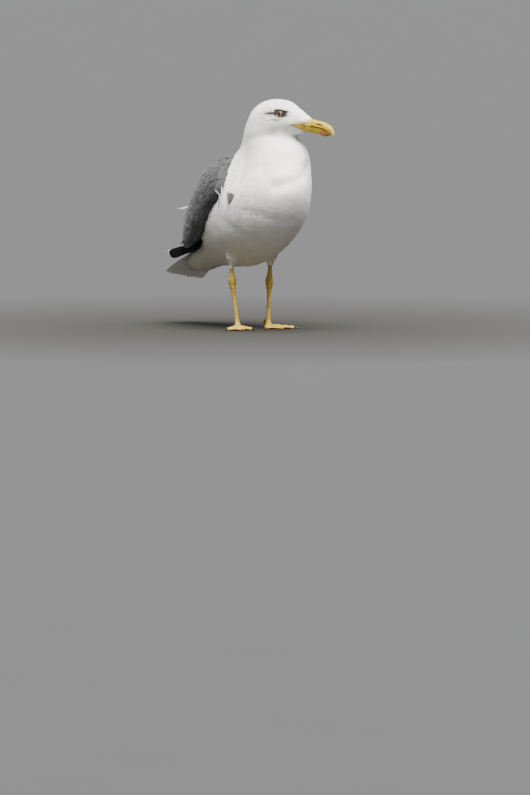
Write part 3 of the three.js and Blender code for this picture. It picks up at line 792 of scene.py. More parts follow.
def eye_distance(p):
    return np.minimum(*(np.linalg.norm(p - EYE_CENTRE[s], axis=1) for s in (1, -1)))


def head_away(p):
    return np.linalg.norm(in_head(p) * [0.9, 1, 1], axis=1)


def thigh_share(p):
    return np.maximum(ramp(thighs[-1](p), 3, -1), ramp(thighs[1](p), 3, -1)) * ramp(p[:, 2], 122, 114)


def spacing_of(p):
    """How far apart feathers stand: closest round the eye, widest on the vent."""
    away = head_away(p)
    r = 1.9 + 0.55 * ramp(in_head(p)[:, 0], 32, 5) + 1.0 * ramp(away, 32, 62) + 1.25 * ramp(away, 60, 115)
    r += 1.0 * ramp(-p[:, 1], -60, -110)
    r = r + (1.25 - r) * ramp(eye_distance(p), 15, 8.5)
    return 0.74 * (r + (2.6 - r) * thigh_share(p))


def length_of(p):
    """How long feathers are, growing the same way."""
    away = head_away(p)
    r = 4.6 + 3.6 * ramp(in_head(p)[:, 0], 34, 5) + 5.5 * ramp(away, 32, 62) + 9.0 * ramp(away, 60, 115)
    r += 9.0 * ramp(-p[:, 1], -60, -110)
    r = r + (2.6 - r) * ramp(eye_distance(p), 16, 8)
    return r + (7.5 - r) * thigh_share(p)


roots = sprinkled(skin_points, skin_quads, lambda p: 4.2 / spacing_of(p) ** 2)
roots = roots[(wing_share(roots) < 0.5) & (eye_distance(roots) > 6.5) & ~bare_face(roots)]
roots = roots[(roots[:, 2] >= 101) | (-roots[:, 1] <= -40)]  # none below the cuffs of the thighs
roots = roots[thinned(roots, spacing_of(roots))]
roots, root_normals = onto(skin_field, roots, 2)

ways = lie(roots, root_normals)
along, aside, above = in_head(roots).T
eye_near = ramp(eye_distance(roots), 13, 8)[:, None]
nearest = np.where((aside > 0)[:, None], EYE_CENTRE[1], EYE_CENTRE[-1])
ways = unit(ways + 0.9 * eye_near * unit(roots - nearest) * np.array([1, 1, 0.6]))
ways = unit(ways + RNG.normal(0, 0.07, ways.shape))
to_wing = np.maximum(np.minimum(wings[-1](roots), wings[1](roots)), 0)
lengths = np.minimum(length_of(roots), 4.5 + 0.9 * to_wing) * RNG.uniform(0.85, 1.15, len(roots))
widths = lengths * np.interp(lengths, [3, 8, 20], [0.46, 0.58, 0.66])
lifts = coat_depth(roots) * np.interp(lengths, [3, 8, 20], [0.45, 0.7, 0.95])
lifts = np.clip(lifts * RNG.uniform(0.92, 1.08, len(roots)), 0.25, 4)
toned = 1 + RNG.normal(0, 0.012, (len(roots), 1))
away = head_away(roots)
streaky = RNG.random(len(roots)) ** 4 * bump(along, 8, 24) * ramp(above, -6, 8) * ramp(away, 55, 35)
toned = toned * (1 - 0.45 * streaky[:, None] * np.array([0.9, 0.95, 1.0]))
forward = -roots[:, 1]
GROUPS = [  # a piece of the coat, where it lies if no earlier one has the place, and its barbs to a feather
    ("coat_face", (away < 36) & (along > 8), 9),
    ("coat_nape", away < 45, 11),
    ("coat_neck", away < 85, 13),
    ("coat_crop", (forward > 28) & (roots[:, 2] > 215), 17),
    ("coat_breast", forward > 28, 17),
    ("coat_flank_right", (forward > -45) & (roots[:, 0] < 0), 17),
    ("coat_flank_left", forward > -45, 17),
    ("coat_vent", forward < np.inf, 17),
]
taken = np.zeros(len(roots), bool)
for name, inside, strips in GROUPS:
    pick = inside & ~taken
    taken |= pick
    coat = Coat()
    numbers = (part[pick] for part in (roots, ways, lengths, widths, lifts))
    if name in ("coat_face", "coat_nape"):
        tufts(coat, skin_field, *numbers, strips, toned[pick], marked=plumage)
    else:
        tufts(coat, skin_field, *numbers, strips, toned[pick] * plumage(roots[pick]))
    coat.build(name, "body_plumage", white_coat)


# ---------------------------------------------------------------- wings
def wing_reach(side, p):
    """How far forward places lie along the wing, from its middle."""
    middle, axes = wing_frame(side)
    return ((p - middle) @ axes.T)[:, 0]


def by_reach(reach, values):
    return np.interp(reach, [-100, -40, 30, 80], values)


def wing_tone(p, top, rise, spread, pale_share=0.0):
    """A tone for each feather, darker at the top and lighter towards the lower edge as painted shade and
    painted light against the light from above, with a share of pale ones there.
    """
    # painted light: the grey is darker at the top and lighter towards the lower edge, evening out the light
    # from above
    low = ramp(p[:, 2], 235, 165)[:, None]
    pale = 0.9 * low * (RNG.random((len(p), 1)) < pale_share) if pale_share else 0
    return GREY * (top + rise * low) * np.exp(RNG.normal(0, spread, (len(p), 1)) + pale)


def coverts(name, side, mine):
    """Short firm feathers over the folded wing."""
    field = covered(side)
    mine = mine[wing_reach(side, mine) > -100]
    reach = wing_reach(side, mine)
    kept = thinned(mine, by_reach(reach, [6.6, 6.2, 5.0, 4.0]))
    mine, reach = mine[kept], reach[kept]
    inner = ramp(np.abs(mine[:, 0]), 46, 34)
    length = by_reach(reach, [40, 32, 21, 13]) * RNG.uniform(0.85, 1.15, len(mine))
    width = by_reach(reach, [14, 12.5, 10, 7.5]) * (1 + 0.25 * inner) * RNG.uniform(0.9, 1.1, len(mine))
    mine, normal = onto(skin_field, mine, 2)
    way = -wing_frame(side)[1][0][None] + at(0, 0, -0.28)[None] * ramp(inner, 1, 0)[:, None]
    way = flattened(way + RNG.normal(0, 0.07, (len(mine), 3)), normal)
    fits, length = ended(field, mine, way, length, floor=123, shortest=13)
    mine, way, length, width = mine[fits], way[fits], length[fits], np.minimum(width, length * 0.6)[fits]
    tone = wing_tone(mine, 0.62, 0.50, 0.15)
    stations = walked(field, mine, way, length, 6)
    inside = -stations[0][:, -1, 1] > -149
    stations = [part[inside] for part in stations]
    mine, length, width, tone = (part[inside] for part in (mine, length, width, tone))
    coat = Coat()
    vanes(coat, stations, length, width, np.full(len(mine), 1.5), tone, GREY * 1.5, blunt=4.5, rows=9,
          root=mine, fray=0.015, cup=0.06, edge=1.12, slim=0.35)
    coat.build(f"wing_coverts_{name}", "wing_plumage", grey_coat)


def strands(name, side):
    """Loose strands over the coverts, dark and light."""
    field = covered(side)
    over = sprinkled(skin_points, skin_quads, lambda p: 0.12 + 0 * p[:, 0])
    over = over[(wing_share(over) > 0.7) & (over[:, 0] * side > 0) & (over[:, 2] > 138)]
    over = over[thinned(over, np.full(len(over), 4.6))]
    over, normal = onto(skin_field, over, 2)
    way = flattened(-wing_frame(side)[1][0][None] + RNG.normal(0, 0.10, (len(over), 3)), normal)
    length = by_reach(wing_reach(side, over), [38, 36, 30, 17]) * RNG.uniform(0.8, 1.2, len(over))
    fits, length = ended(field, over, way, length, floor=122, shortest=8)
    over, way, length = over[fits], way[fits], length[fits]
    tone = wing_tone(over, 0.60, 0.52, 0.20, 0.14)
    width = length * RNG.uniform(0.24, 0.36, len(over))
    coat = Coat()
    tufts(coat, field, over, way, length, width, np.full(len(over), 1.9), 9, tone, spread=0.9, loose=0.10,
          curl=0.35)
    coat.build(f"wing_strands_{name}", "wing_plumage", grey_coat)


TERTIAL_ROOTS = [
    (0, (-80, 14, 232)), (0.3, (-76, 38, 220)), (0.55, (-68, 54, 201)), (0.8, (-62, 61, 181)),
    (1, (-58, 62, 165)),
]


def tertials(name, side):
    """Tertials and inner secondaries: long feathers to the wing's rear end."""
    count, field = 9, covered(side)
    k = np.linspace(0, 1, count)
    start = np.stack([at(f, side * s, u) for f, s, u in curve(TERTIAL_ROOTS, k)])
    place = onto(field, start, 3)[0]
    aim = np.stack([at(-152 + 6 * a, side * (30 + 10 * a), 124 - 4 * a) for a in k])
    length = np.linalg.norm(aim - place, axis=1) * RNG.uniform(0.97, 1.03, count)
    stations = walked(field, place, unit(aim - place), length, 10)
    tone = GREY * np.exp(RNG.normal(-0.12, 0.12, (count, 1)))
    low = np.stack([np.linspace(0.01, 0.89, count), np.full(count, 0.02)], 1)
    coat = Coat()
    vanes(coat, stations, length, np.full(count, 22.0), 1.0 + 1.6 * (1 - k), tone, GREY * 2.2, tip=0.03,
          blunt=5, rows=22, islands=(low, (0.095, 0.96)), fray=0.008, quill=0.5, edge=1.12, slim=0.35,
          rounding=0.45)
    coat.build(f"tertials_{name}", "wing_plumage", grey_coat)


on_wings = sprinkled(skin_points, skin_quads, lambda p: 0.22 + 0 * p[:, 0])
on_wings = on_wings[wing_share(on_wings) > 0.45]
for name, side in SIDES.items():
    coverts(name, side, on_wings[on_wings[:, 0] * side > 0])
    strands(name, side)
    tertials(name, side)


def few_feathers(name, field, rows):
    """Single feathers laid one by one: root, end, width, lift, tint and tip tint of each."""
    coat = Coat()
    share = 1 / len(rows)
    for k, (root, end, width, lift, tint, tip_tint) in enumerate(rows):
        place = onto(field, at(*root)[None], 2)[0]
        length = np.array([np.linalg.norm(at(*end) - place[0])])
        stations = walked(field, place, unit(at(*end)[None] - place), length, 8)
        vanes(coat, stations, length, np.array([width]), np.array([lift]), tint[None], tip_tint, tip=0.35,
              cup=0.08, islands=((k * share + 0.01, 0.02), (share - 0.015, 0.96)))
    coat.build(name, "wing_plumage", grey_coat)


few_feathers("carpal_feathers", lambda p: skin_field(p) - 2.6, [
    ((23, -64, 215), (24, -66, 197), 6.0, 0.8, GREY * 0.8, GREY * 0.7),
    ((29, -64, 215), (26, -66, 196), 6.5, 1.2, GREY * 0.6, GREY * 0.7),
    ((36, -64, 213), (28, -66, 198), 6.0, 0.9, GREY * 0.9, GREY * 0.8),
    ((16, -64, 217), (21, -66, 200), 5.0, 0.6, GREY * 0.9, GREY * 0.8),
    ((2, -64, 224), (24, -67, 188), 3.0, 2.6, PALE, PALE),
    # painted shadow: this grey strand lies under the pale strands beside it
    ((-2, -64, 221), (13, -66, 192), 2.6, 2.4, GREY * 0.7, GREY * 0.6),
    ((9, -63, 221), (31, -68, 192), 2.4, 2.9, PALE, PALE),
    ((-10, -66, 218), (8, -66, 199), 2.8, 2.2, PALE * 0.8, PALE),
])
few_feathers("scapular_tuft", covered(-1), [
    ((-42, -40, 256), (-62, -50, 236), 8.0, 3.4, GREY * 0.9, GREY * 1.3),
    ((-38, -48, 252), (-60, -56, 232), 7.0, 3.0, GREY * 0.8, GREY * 0.9),
    ((-50, -36, 252), (-68, -46, 231), 7.5, 3.8, GREY * 0.8, GREY * 1.2),
])


def stray_feather():
    """One loose body feather caught on the wing's rear edge, standing out behind it."""
    coat = Coat()
    root, end = at(-103, -49, 189), at(-131, -57, 184)
    t = np.linspace(0, 1, 8)[:, None]
    line = root + (end - root) * t + at(0, 0, -2.4) * np.sin(np.pi * t)
    way = line_ways(line)
    normal = unit(np.cross(way, np.cross(np.tile(at(0, -0.8, 0.6), (8, 1)), way)))
    feather(coat, (line, normal, way), np.linalg.norm(end - root), 3.4, 0.1, WHITE * 0.5, GREY * 1.4,
            tip=0.55, rounding=1.0, islands=((0.02, 0.02), (0.96, 0.96)))
    coat.build("stray_feather", "wing_plumage", grey_coat)


stray_feather()

# ---------------------------------------------------------------- primaries and tail
BLADE = [
    (0.00, (-76, 46, 129)), (0.18, (-100, 43, 127)), (0.40, (-130, 37, 121)), (0.60, (-156, 31, 114)),
    (0.78, (-180, 25, 110.5)), (0.92, (-197, 20, 109)), (1.00, (-207, 17, 108.5)),
]


def primaries(name, side):
    """Seven stacked primaries: the outermost is the longest and lies lowest."""
    sweep, shift = (0, 0) if side < 0 else (4, 8)
    blade = unit(at(0, side, 0.75))
    wide = unit(np.cross(unit(at(-1, -side * 0.22, -0.24)), blade))
    if wide[2] < 0:
        wide = -wide
    coat = Coat()
    for k, reach in enumerate([1.0, 0.972, 0.945, 0.915, 0.885, 0.85, 0.81]):
        part = np.linspace(0.0, 1, 14) * reach
        line = np.stack([at(f + shift, side * s, u + sweep * ramp(a, 0.3, 0.7))
                         for (f, s, u), a in zip(curve(BLADE, part), part)])
        line = line + wide * (4.6 - 1.6 * k) + blade * (1.9 - 0.55 * k) * (1 - 0.5 * part[:, None])
        way = line_ways(line)
        stations = (line, flattened(unit(np.tile(blade, (14, 1))), way), way)
        feather(coat, stations, line_length(line), 15.5, 0.2, BLACK, WHITE * 0.95, tip=0.03, rows=30,
                cup=0.12, slim=0.5, rounding=0.75, fray=0.003, quill=0.5, skew=-0.25 * side,
                islands=((0.01 + 0.14 * k, 0.02), (0.13, 0.96)))
    coat.build(f"primary_feathers_{name}", "flight_feathers", black_coat, f"primaries_{name}")


for name, side in SIDES.items():
    primaries(name, side)

TAIL = [(0.0, (-92, 141)), (0.27, (-120, 127)), (0.56, (-150, 108)), (0.84, (-178, 87)), (1.0, (-196, 73.5))]


def tail_feathers():
    """Twelve rectrices in a shallow arched fan, the middle pair on top."""
    coat = Coat()
    count = 12
    t = np.linspace(0, 1, 16)
    half = np.interp(t, [0, 0.27, 0.56, 0.84, 1], [14, 17, 22, 28, 31])
    arch = np.interp(t, [0, 0.56, 1], [6, 4, 2])
    roll = np.interp(t, [0, 0.3, 0.56, 1], [0, 1, 3, 6])
    for k in range(count):
        c = (k - (count - 1) / 2) / ((count - 1) / 2)
        stack = 2.2 * (1 - abs(c)) - 0.8
        rounded = 7 * c * c * t**2
        line = np.stack([at(f + r, h * c, u - a * c * c - o * c + stack + r * 0.6)
                         for (f, u), h, a, o, r in zip(curve(TAIL, t), half, arch, roll, rounded)])
        way = line_ways(line)
        right = at(0, 1, 0) - way * (way @ at(0, 1, 0))[:, None]
        slope = unit(right - at(0, 0, 1) * (2 * arch * c / half + roll / half)[:, None])
        normal = unit(np.cross(way, slope))
        normal = np.where(normal[:, 2:] < 0, -normal, normal)
        tone = WHITE * (0.95 - 0.05 * (k % 2) - 0.04 * RNG.random())
        # edge below 1 darkens the rims of each rectrix: painted shade between the overlapping feathers
        feather(coat, (line, normal, way), line_length(line), 17.0, 0.0, tone, WHITE, blunt=7, rows=26,
                slim=0.3, rounding=0.35, fray=0.006, quill=0.6, skew=0.2 * np.sign(c), edge=0.86,
                islands=((0.005 + 0.083 * k, 0.02), (0.078, 0.96)))
    coat.build("tail_fan", "tail_feathers", white_coat, "tail")


tail_feathers()

# ---------------------------------------------------------------- bill
UPPER = [  # ridge point, cutting-edge point, half-width; each point is along and up in the head's frame
    (34, -2.0, 34, -7.5, 6.0), (57, 1.0, 55, -9.4, 8.0), (66, 0.3, 63, -10.1, 7.8),
    (75.5, -1.5, 71, -10.9, 6.8), (85, -3.6, 79.5, -12.4, 6.0), (91, -5.5, 86, -14.2, 5.3),
    (96.4, -8.3, 91, -16.4, 4.6),
    (100.4, -11.9, 95, -18.4, 3.9), (102.9, -16, 98.2, -20.4, 3.1), (104.1, -20.4, 100.2, -22.9, 2.2),
    (104.0, -24.2, 101.4, -25.2, 1.3), (103.0, -27.0, 102.3, -26.8, 0.5),
]
LOWER = [  # cutting-edge point, chin point, half-width
    (34, -9.0, 34, -14.5, 4.5), (50, -8.9, 49, -18.6, 6.9), (62, -9.9, 62, -20.3, 7.4),
    (70, -10.8, 71, -21.2, 6.5), (78, -12.0, 79.5, -23.5, 5.7), (85, -13.8, 86, -25.2, 4.9),
    (91, -16.3, 91.5, -25.0, 4.0),
    (95.4, -18.5, 96, -23.8, 2.9), (98.4, -21.1, 99, -22.6, 1.4),
]
HORN = np.array([0.39, 0.272, 0.014])
HORN_BASE = np.array([0.40, 0.31, 0.03])
HORN_TIP = np.array([0.42, 0.40, 0.22])
GONYS = np.array([0.40, 0.085, 0.035])
GAPE = np.array([0.38, 0.28, 0.025])


def bill_tint(a, u, lower):
    """Yellow horn, greener at the base, pale at the tip, with a red spot at the gonys."""
    tint = HORN * (1 + 0.03 * np.sin(a * 0.9 + u))[..., None]
    tint = mixed(tint, HORN_BASE, ramp(a, 66, 50)[..., None])
    tint = mixed(tint, HORN_TIP, (ramp(a, 98, 105) * ramp(u, -13, -20))[..., None])
    red = np.exp(-(((a - 87.5) / 7.5) ** 4) - (((u + 20.5) / 4.6) ** 4)) * (1.0 if lower else 0.35)
    red = np.clip(red * (1 + 0.2 * np.sin(a * 1.7 + u * 2.1)), 0, 1)
    tint = mixed(tint, GONYS, 0.9 * red[..., None])
    dark = bump(a, 92.5, 2.6) * bump(u, -22.5, 2.4) * (0.55 if lower else 0.275)
    return mixed(tint, np.array([0.03, 0.02, 0.015]), dark[..., None])


def bill_piece(name, table, lower, node):
    """A mandible: rings from the cutting edge over the ridge or chin and back by a hollow inner face."""
    rows, n = 150, 56
    numbers = curve(list(enumerate(table)), np.linspace(0, len(table) - 1, rows))
    edge_a, edge_u, ridge_a, ridge_u, half = numbers.T[..., None]
    if not lower:
        edge_a, edge_u, ridge_a, ridge_u = ridge_a, ridge_u, edge_a, edge_u
    angle = np.linspace(0, 2 * np.pi, n, endpoint=False)[None]
    sin, cos = np.sin(angle), np.cos(angle)
    outer = sin > 0
    waist = 0.16 if lower else 0.12
    full = np.where(outer, waist + (1 - waist) * np.abs(sin) ** 0.92, waist * (1 - np.abs(sin) ** 0.6))
    a = edge_a + (ridge_a - edge_a) * full
    u = edge_u + (ridge_u - edge_u) * full
    s = half * np.sign(cos) * np.abs(cos) ** 0.9
    nostril = np.zeros_like(a)
    if lower:
        line = curve([(34, -13), (60, -14.5), (82, -19)], np.clip(a, 34, 82))
        taken_off = 0.35 * bump(u, line, 0.9) * ramp(a, 84, 74)
    else:
        line = curve([(34, -6), (60, -8.4), (75, -9.6), (90, -14)], np.clip(a, 34, 90))
        nostril = 1.9 * np.exp(-(((a - 79.5) / 4.6) ** 4)) * bump(u + 0.16 * (a - 79.5), -7.9, 0.85) * outer
        hollow = 0.5 * bump(a, 77, 9) * bump(u + 0.1 * (a - 77), -7.2, 2.6)
        taken_off = nostril + hollow - 0.25 * bump(u, line, 0.7)
    s = s - np.sign(s) * taken_off * outer
    # painted shade: the hollow inner face of the mandible is darker
    tint = bill_tint(a, u, lower) * (1 - 0.55 * ~outer[..., None])
    # painted shade: the nostril's hollow is painted near black
    tint = mixed(tint, np.array([0.02, 0.014, 0.01]), np.clip(nostril / 1.1, 0, 1)[..., None])
    # painted shade: a dark line along the cutting edge where the mandibles meet
    tint = tint * (1 - 0.35 * (bump(sin, 0, 0.12) * ramp(a, 98, 90))[..., None])
    faces = ring_faces(rows, n)
    places = np.stack([a, s, u], -1).reshape(-1, 3)
    faces = faces[:, ::-1] if lower else faces
    ob = make_mesh(name, head_point(*places.T), faces, tint.reshape(-1, 3), places)
    keep(ob, "bill_horn", horn, node)


def horn_paint(tree):
    grain = noise(tree, 1.0, 4, vane_of(tree), (0.25, 1.6, 1.6))
    mottle = noise(tree, 260, 3)
    colour = multiply(tree, tint_of(tree), ranged(tree, grain, 0.84, 1.12, 0.3, 0.7))
    colour = multiply(tree, colour, ranged(tree, mottle, 0.92, 1.06, 0.35, 0.65))
    return colour, ranged(tree, mottle, 0.40, 0.56, 0.3, 0.7), (grain, 0.35, 0.0003)


horn = material("bill_horn", horn_paint, Specular_IOR_Level=0.3, Subsurface_Weight=0.15,
                Subsurface_Scale=0.002)
bill_piece("bill_upper_horn", UPPER, False, "bill_upper")
bill_piece("bill_lower_horn", LOWER, True, "bill_lower")


def skin_reach(a, u, side):
    """How far out from the head's middle plane the skin lies, beside the points along a and up u."""
    s = np.full(a.shape, 32.0)
    for _ in range(24):
        p = head_point(a, side * s, u)
        s = np.maximum(s - 0.8 * body_skin(p.reshape(-1, 3)).reshape(a.shape), 0)
    return s


def rounded_off(u, middle):
    return np.sqrt(np.clip(1 - ((u - middle) / 11) ** 2, 0, 1))


def gape(name, side):
    """The yellow corner of the mouth: two soft rims and the gape line between them, let into the feathers."""
    rows, n = 70, 25
    along = np.linspace(35.0, 66, rows)[:, None]
    line = curve([(34, -7.9), (40, -8.6), (55, -9.5), (66, -10.4)], along)
    opening = ramp(along, 34.6, 39)
    v = np.linspace(-1, 1, n)[None]
    above = (curve(UPPER_EDGE, along) + 0.5 - line) * opening
    below_it = (line - curve(LOWER_EDGE, along) + 0.3) * opening
    off = np.where(v > 0, above, below_it) * v
    u = line + off
    a = np.broadcast_to(along, u.shape)
    half = np.interp(a, [34, 50, 57, 66, 75], [6.0, 7.4, 8.2, 7.8, 6.8])
    half = half * np.where(u > -9.6, rounded_off(u, -9.0), 0.93 * rounded_off(u, -11))
    s = np.maximum(np.where(a > 58, 0, skin_reach(a, u, side)), half * ramp(a, 50, 57))
    rims = 0.35 * bump(np.abs(off), 1.2, 0.8) * ramp(a, 35, 39) - 0.32 * bump(off, 0, 0.42) * ramp(a, 35, 37)
    s = s + 0.75 + rims - 0.9 * ramp(a, 59, 66)
    tint = GAPE * (1 - 0.12 * ramp(a, 50, 38)[..., None])
    # painted shade: a dark line in the slit between the two rims
    tint = mixed(tint, np.array([0.10, 0.03, 0.015]), 0.75 * bump(off, 0, 0.38)[..., None])
    faces = ring_faces(rows, n, False)
    points, places = head_point(a, side * s, u), np.stack([a, s, u], -1)
    ob = make_mesh(name, points.reshape(-1, 3), faces[:, ::-1] if side < 0 else faces, tint.reshape(-1, 3),
                   places.reshape(-1, 3))
    keep(ob, "bill_horn", horn)


for name, side in SIDES.items():
    gape(f"gape_{name}", side)


# ---------------------------------------------------------------- eyes
def speckled(name, grain, tone, rough, relief=None, **plain):
    """A material with its tint and roughness varied by one noise."""
    def paint(tree):
        speck = noise(tree, *grain)
        colour = multiply(tree, tint_of(tree), ranged(tree, speck, *tone))
        return colour, ranged(tree, speck, *rough), relief and (speck, *relief)

    return material(name, paint, **plain)


eye_mat = speckled("eye", (2200, 3), (0.8, 1.15, 0.35, 0.65), (0.12, 0.18), Coat_Weight=0.15,
                   Coat_Roughness=0.02)
lid_mat = speckled("eyelid", (900, 3), (0.75, 1.1, 0.35, 0.65), (0.4, 0.6), (0.5, 0.0003))
IRIS = np.array([0.24, 0.215, 0.11])
EYE_RIM = np.array([0.05, 0.035, 0.03])
PUPIL = 0.004
LIDS = [  # rows outward over the lids: degrees from the rim, radius, wrinkle, brow, shade and pale share
    (-1, 6.0, 0, 0, 0.4, 0), (0, 6.3, 0, 0.2, 1.2, 0), (1.6, 6.65, 0.4, 1, 1.6, 0),
    (3.6, 6.8, 1, 1, 1, 0.15), (6, 6.75, 1, 1, 0.8, 0.5), (9, 6.6, 0.6, 0.8, 0.6, 0.8),
    (15, 6.3, 0.2, 0.4, 0.5, 0.8), (24, 5.8, 0, 0, 0.5, 0.8),
]


def round_angles(n):
    return np.linspace(0, 2 * np.pi, n, endpoint=False)


def eye(name, side):
    """Eyeball with a bulging cornea, pale iris and round pupil, and a fleshy ring of lids."""
    out = unit(0.26 * HEAD_AXES[0] + side * 0.96 * HEAD_AXES[1] + 0.05 * HEAD_AXES[2])
    up = unit(HEAD_AXES[2] - out * (out @ HEAD_AXES[2]))
    fore = np.cross(up, out) * side
    if fore @ HEAD_AXES[0] < 0:
        fore = -fore

    def shell(piece, degrees, radius, tint):
        """Rows round the eye's axis, at their angles from it."""
        rows, n = degrees.shape
        phi, theta = round_angles(n)[:, None], np.radians(degrees)[..., None]
        ring = np.cos(phi) * fore + np.sin(phi) * up
        points = EYE_CENTRE[side] + radius[..., None] * (np.cos(theta) * out + np.sin(theta) * ring)
        faces = ring_faces(rows, n)[:, [0, 3, 2, 1] if side > 0 else [1, 2, 3, 0]]
        return make_mesh(piece, points.reshape(-1, 3), faces, tint.reshape(-1, 3))

    phi = round_angles(48)
    degrees = np.concatenate([[0.5], np.linspace(3, 50, 32), np.linspace(54, 150, 14)])[:, None] + 0 * phi
    rays = 0.18 * np.sin(phi * 23 + 3 * np.sin(phi * 5)) * ramp(degrees, 20, 30)
    tint = mixed(IRIS * (1 + rays)[..., None], EYE_RIM, ramp(degrees, 34, 41)[..., None])
    tint = tint * (1 - 0.35 * ramp(degrees, 26, 20)[..., None])
    tint = mixed(tint, PUPIL, ramp(degrees, 18.5, 17)[..., None])
    ball = shell(f"eyeball_{name}", degrees, 6.0 + 0.45 * ramp(degrees, 42, 5), tint)
    keep(ball, "eye", eye_mat, f"eye_{name}")

    phi = round_angles(80)
    high = np.sin(phi)
    rim = 33 - 15 * np.maximum(np.sin(phi + 0.35), 0) ** 1.3 - 5 * np.maximum(-high, 0)
    rim = rim + 7 * np.abs(np.cos(phi)) ** 6
    step, radius, wrinkle, brow_fold, shade, pale = np.array(LIDS).T[..., None]
    radius = radius + 0.12 * np.sin(phi * 26) * wrinkle + 0.35 * np.maximum(high, 0) * brow_fold
    red = np.array([0.062, 0.030, 0.021]) * (1 - 0.7 * ramp(high, -0.1, 0.6)[:, None])
    light = np.array([0.42, 0.38, 0.31]) * ramp(high, -0.35, -0.8)[:, None]
    lids = shell(f"eyelids_{name}", rim + step, radius, red * shade[..., None] + light * pale[..., None])
    keep(lids, "leg_skin", lid_mat)


for name, side in SIDES.items():
    eye(name, side)

# ---------------------------------------------------------------- legs
TOE_LENGTHS = {"inner": 44, "middle": 57, "outer": 52}
CLAW = 8.5
KNUCKLES = [(0, 4), (0.22, 3.1), (0.36, 3.3), (0.5, 2.7), (0.66, 2.9), (0.8, 2.3), (0.92, 2.5), (1, 2)]
HIND_TOE = [  # back, up and radius
    (2, 12.5, 1.8), (5.7, 13.4, 1.9), (8, 12.2, 2.2), (10.6, 9.8, 1.9), (12.0, 7.2, 1.3), (12.8, 4.6, 0.5),
]
CLAW_CORE = [  # forward, up and radius
    (-2.4, 1.9, 1.5), (-0.5, 2.15, 1.95), (1.5, 2.3, 1.85), (4, 2.1, 1.4), (6.3, 1.55, 0.95),
    (8.2, 0.75, 0.32),
]
LEG_YELLOW = np.array([0.58, 0.39, 0.06])


def chain(soft, stations):
    """Rounded cones through (point, radius) pairs, blended."""
    return blend(soft, *[cone(a, ra, b, rb) for (a, ra), (b, rb) in zip(stations[:-1], stations[1:])])


def level_way(degrees):
    heading = math.radians(degrees)
    return at(math.cos(heading), math.sin(heading), 0)


def toe_lines(side):
    """For each front toe: its direction, its reach without the claw and its stations."""
    leg = LEGS[side]
    out = {}
    for (toe, length), turn in zip(TOE_LENGTHS.items(), (-side, 0, side)):
        aim = level_way(leg["heading"] + turn * leg["spread"])
        reach = length - CLAW
        out[toe] = (aim, reach, [(leg["foot"] + aim * t * reach + at(0, 0, r - 0.5), r) for t, r in KNUCKLES])
    return out


def web_field(side, toes):
    """The web between the front toes: hollow-edged, thin, and drawn up towards the foot's joint."""
    foot = LEGS[side]["foot"]
    base = toes["middle"][0]
    across = np.array([-base[1], base[0], 0])
    edges = sorted((math.atan2(aim @ across, aim @ base), reach) for aim, reach, _ in toes.values())
    angle, reach = np.array(edges).T

    def field(p):
        d = p - foot
        r = np.hypot(d @ base, d @ across)
        turn = np.arctan2(d @ across, d @ base)
        gap = np.interp(turn, angle, [0, 1, 2]) % 1
        scallop = 4 * gap * (1 - gap)
        edge = np.interp(turn, angle, reach) * (1 - 0.20 * scallop) + 0.3
        ripple = 0.5 * scallop * ramp(r, 10, 24) + 0.22 * np.sin(r * 0.55) * scallop
        level = 1.9 + 3.6 * np.exp(-((r / 17) ** 2)) + ripple
        beyond = np.maximum(angle[0] - turn, turn - angle[-1]) * r
        return np.maximum(np.maximum(np.abs(p[:, 2] - level) - 0.62, r - edge), beyond)

    return field


def leg_field(side):
    """The bare leg and foot, with its toe lines and the way back from the foot."""
    leg = LEGS[side]
    cuff, ankle, foot = leg["cuff"], leg["ankle"], leg["foot"] + at(0, 0, 3)

    def on(a, b, t):
        return a + (b - a) * t

    shank = chain(1.5, [
        (on(cuff, leg["knee"], 0.5), 3.2), (on(cuff, ankle, 0.35), 3.1), (on(cuff, ankle, 0.62), 3.9),
        (on(cuff, ankle, 0.84), 5.6), (ankle, 5.7), (on(ankle, foot, 0.1), 4.6), (on(ankle, foot, 0.2), 3.3),
        (on(ankle, foot, 0.45), 2.75), (on(ankle, foot, 0.78), 2.9), (on(ankle, foot, 0.93), 4.0),
        (foot, 4.6),
    ])
    back = -level_way(leg["heading"])
    hind = chain(1.0, [(leg["foot"] + back * b + at(0, 0, u), r) for b, u, r in HIND_TOE])
    toes = toe_lines(side)
    front = blend(1.6, web_field(side, toes), *[chain(1.2, line) for _, _, line in toes.values()])

    def field(p):
        value = shank(p)
        low = p[:, 2] < 24
        q = p[low]
        part = soft_min(soft_min(value[low], hind(q), 1.5), front(q), 2.5)
        value[low] = np.maximum(part, -q[:, 2] + 0.05)
        return value

    return field, toes, back


def scutes(side, p, normal, toes, back):
    """How far each place of the leg lies in a groove between the horny plates."""
    leg = LEGS[side]
    t = (p - leg["ankle"]) @ unit(leg["foot"] + at(0, 0, 3) - leg["ankle"])
    plate = np.abs(((t / 2.7) % 1) - 0.5) * 2
    on_shank = ramp(p[:, 2], 10, 14) * ramp(np.abs(t), 110, 100)
    groove = ramp(plate, 0.78, 1.0) * ramp(normal @ -back, -0.1, 0.35) * on_shank
    for aim, reach, _ in toes.values():
        d = p - leg["foot"]
        along, off = d @ aim, np.abs(d @ np.array([-aim[1], aim[0], 0]))
        near = ramp(off, 3.4, 2.2) * ramp(along, 3, 7) * ramp(along, reach + 2, reach - 1)
        near = near * ramp(normal[:, 2], 0.0, 0.4) * ramp(p[:, 2], 12, 9)
        plate = np.abs(((along / 2.0) % 1) - 0.5) * 2
        groove = np.maximum(groove, ramp(plate, 0.72, 1.0) * near)
    return groove


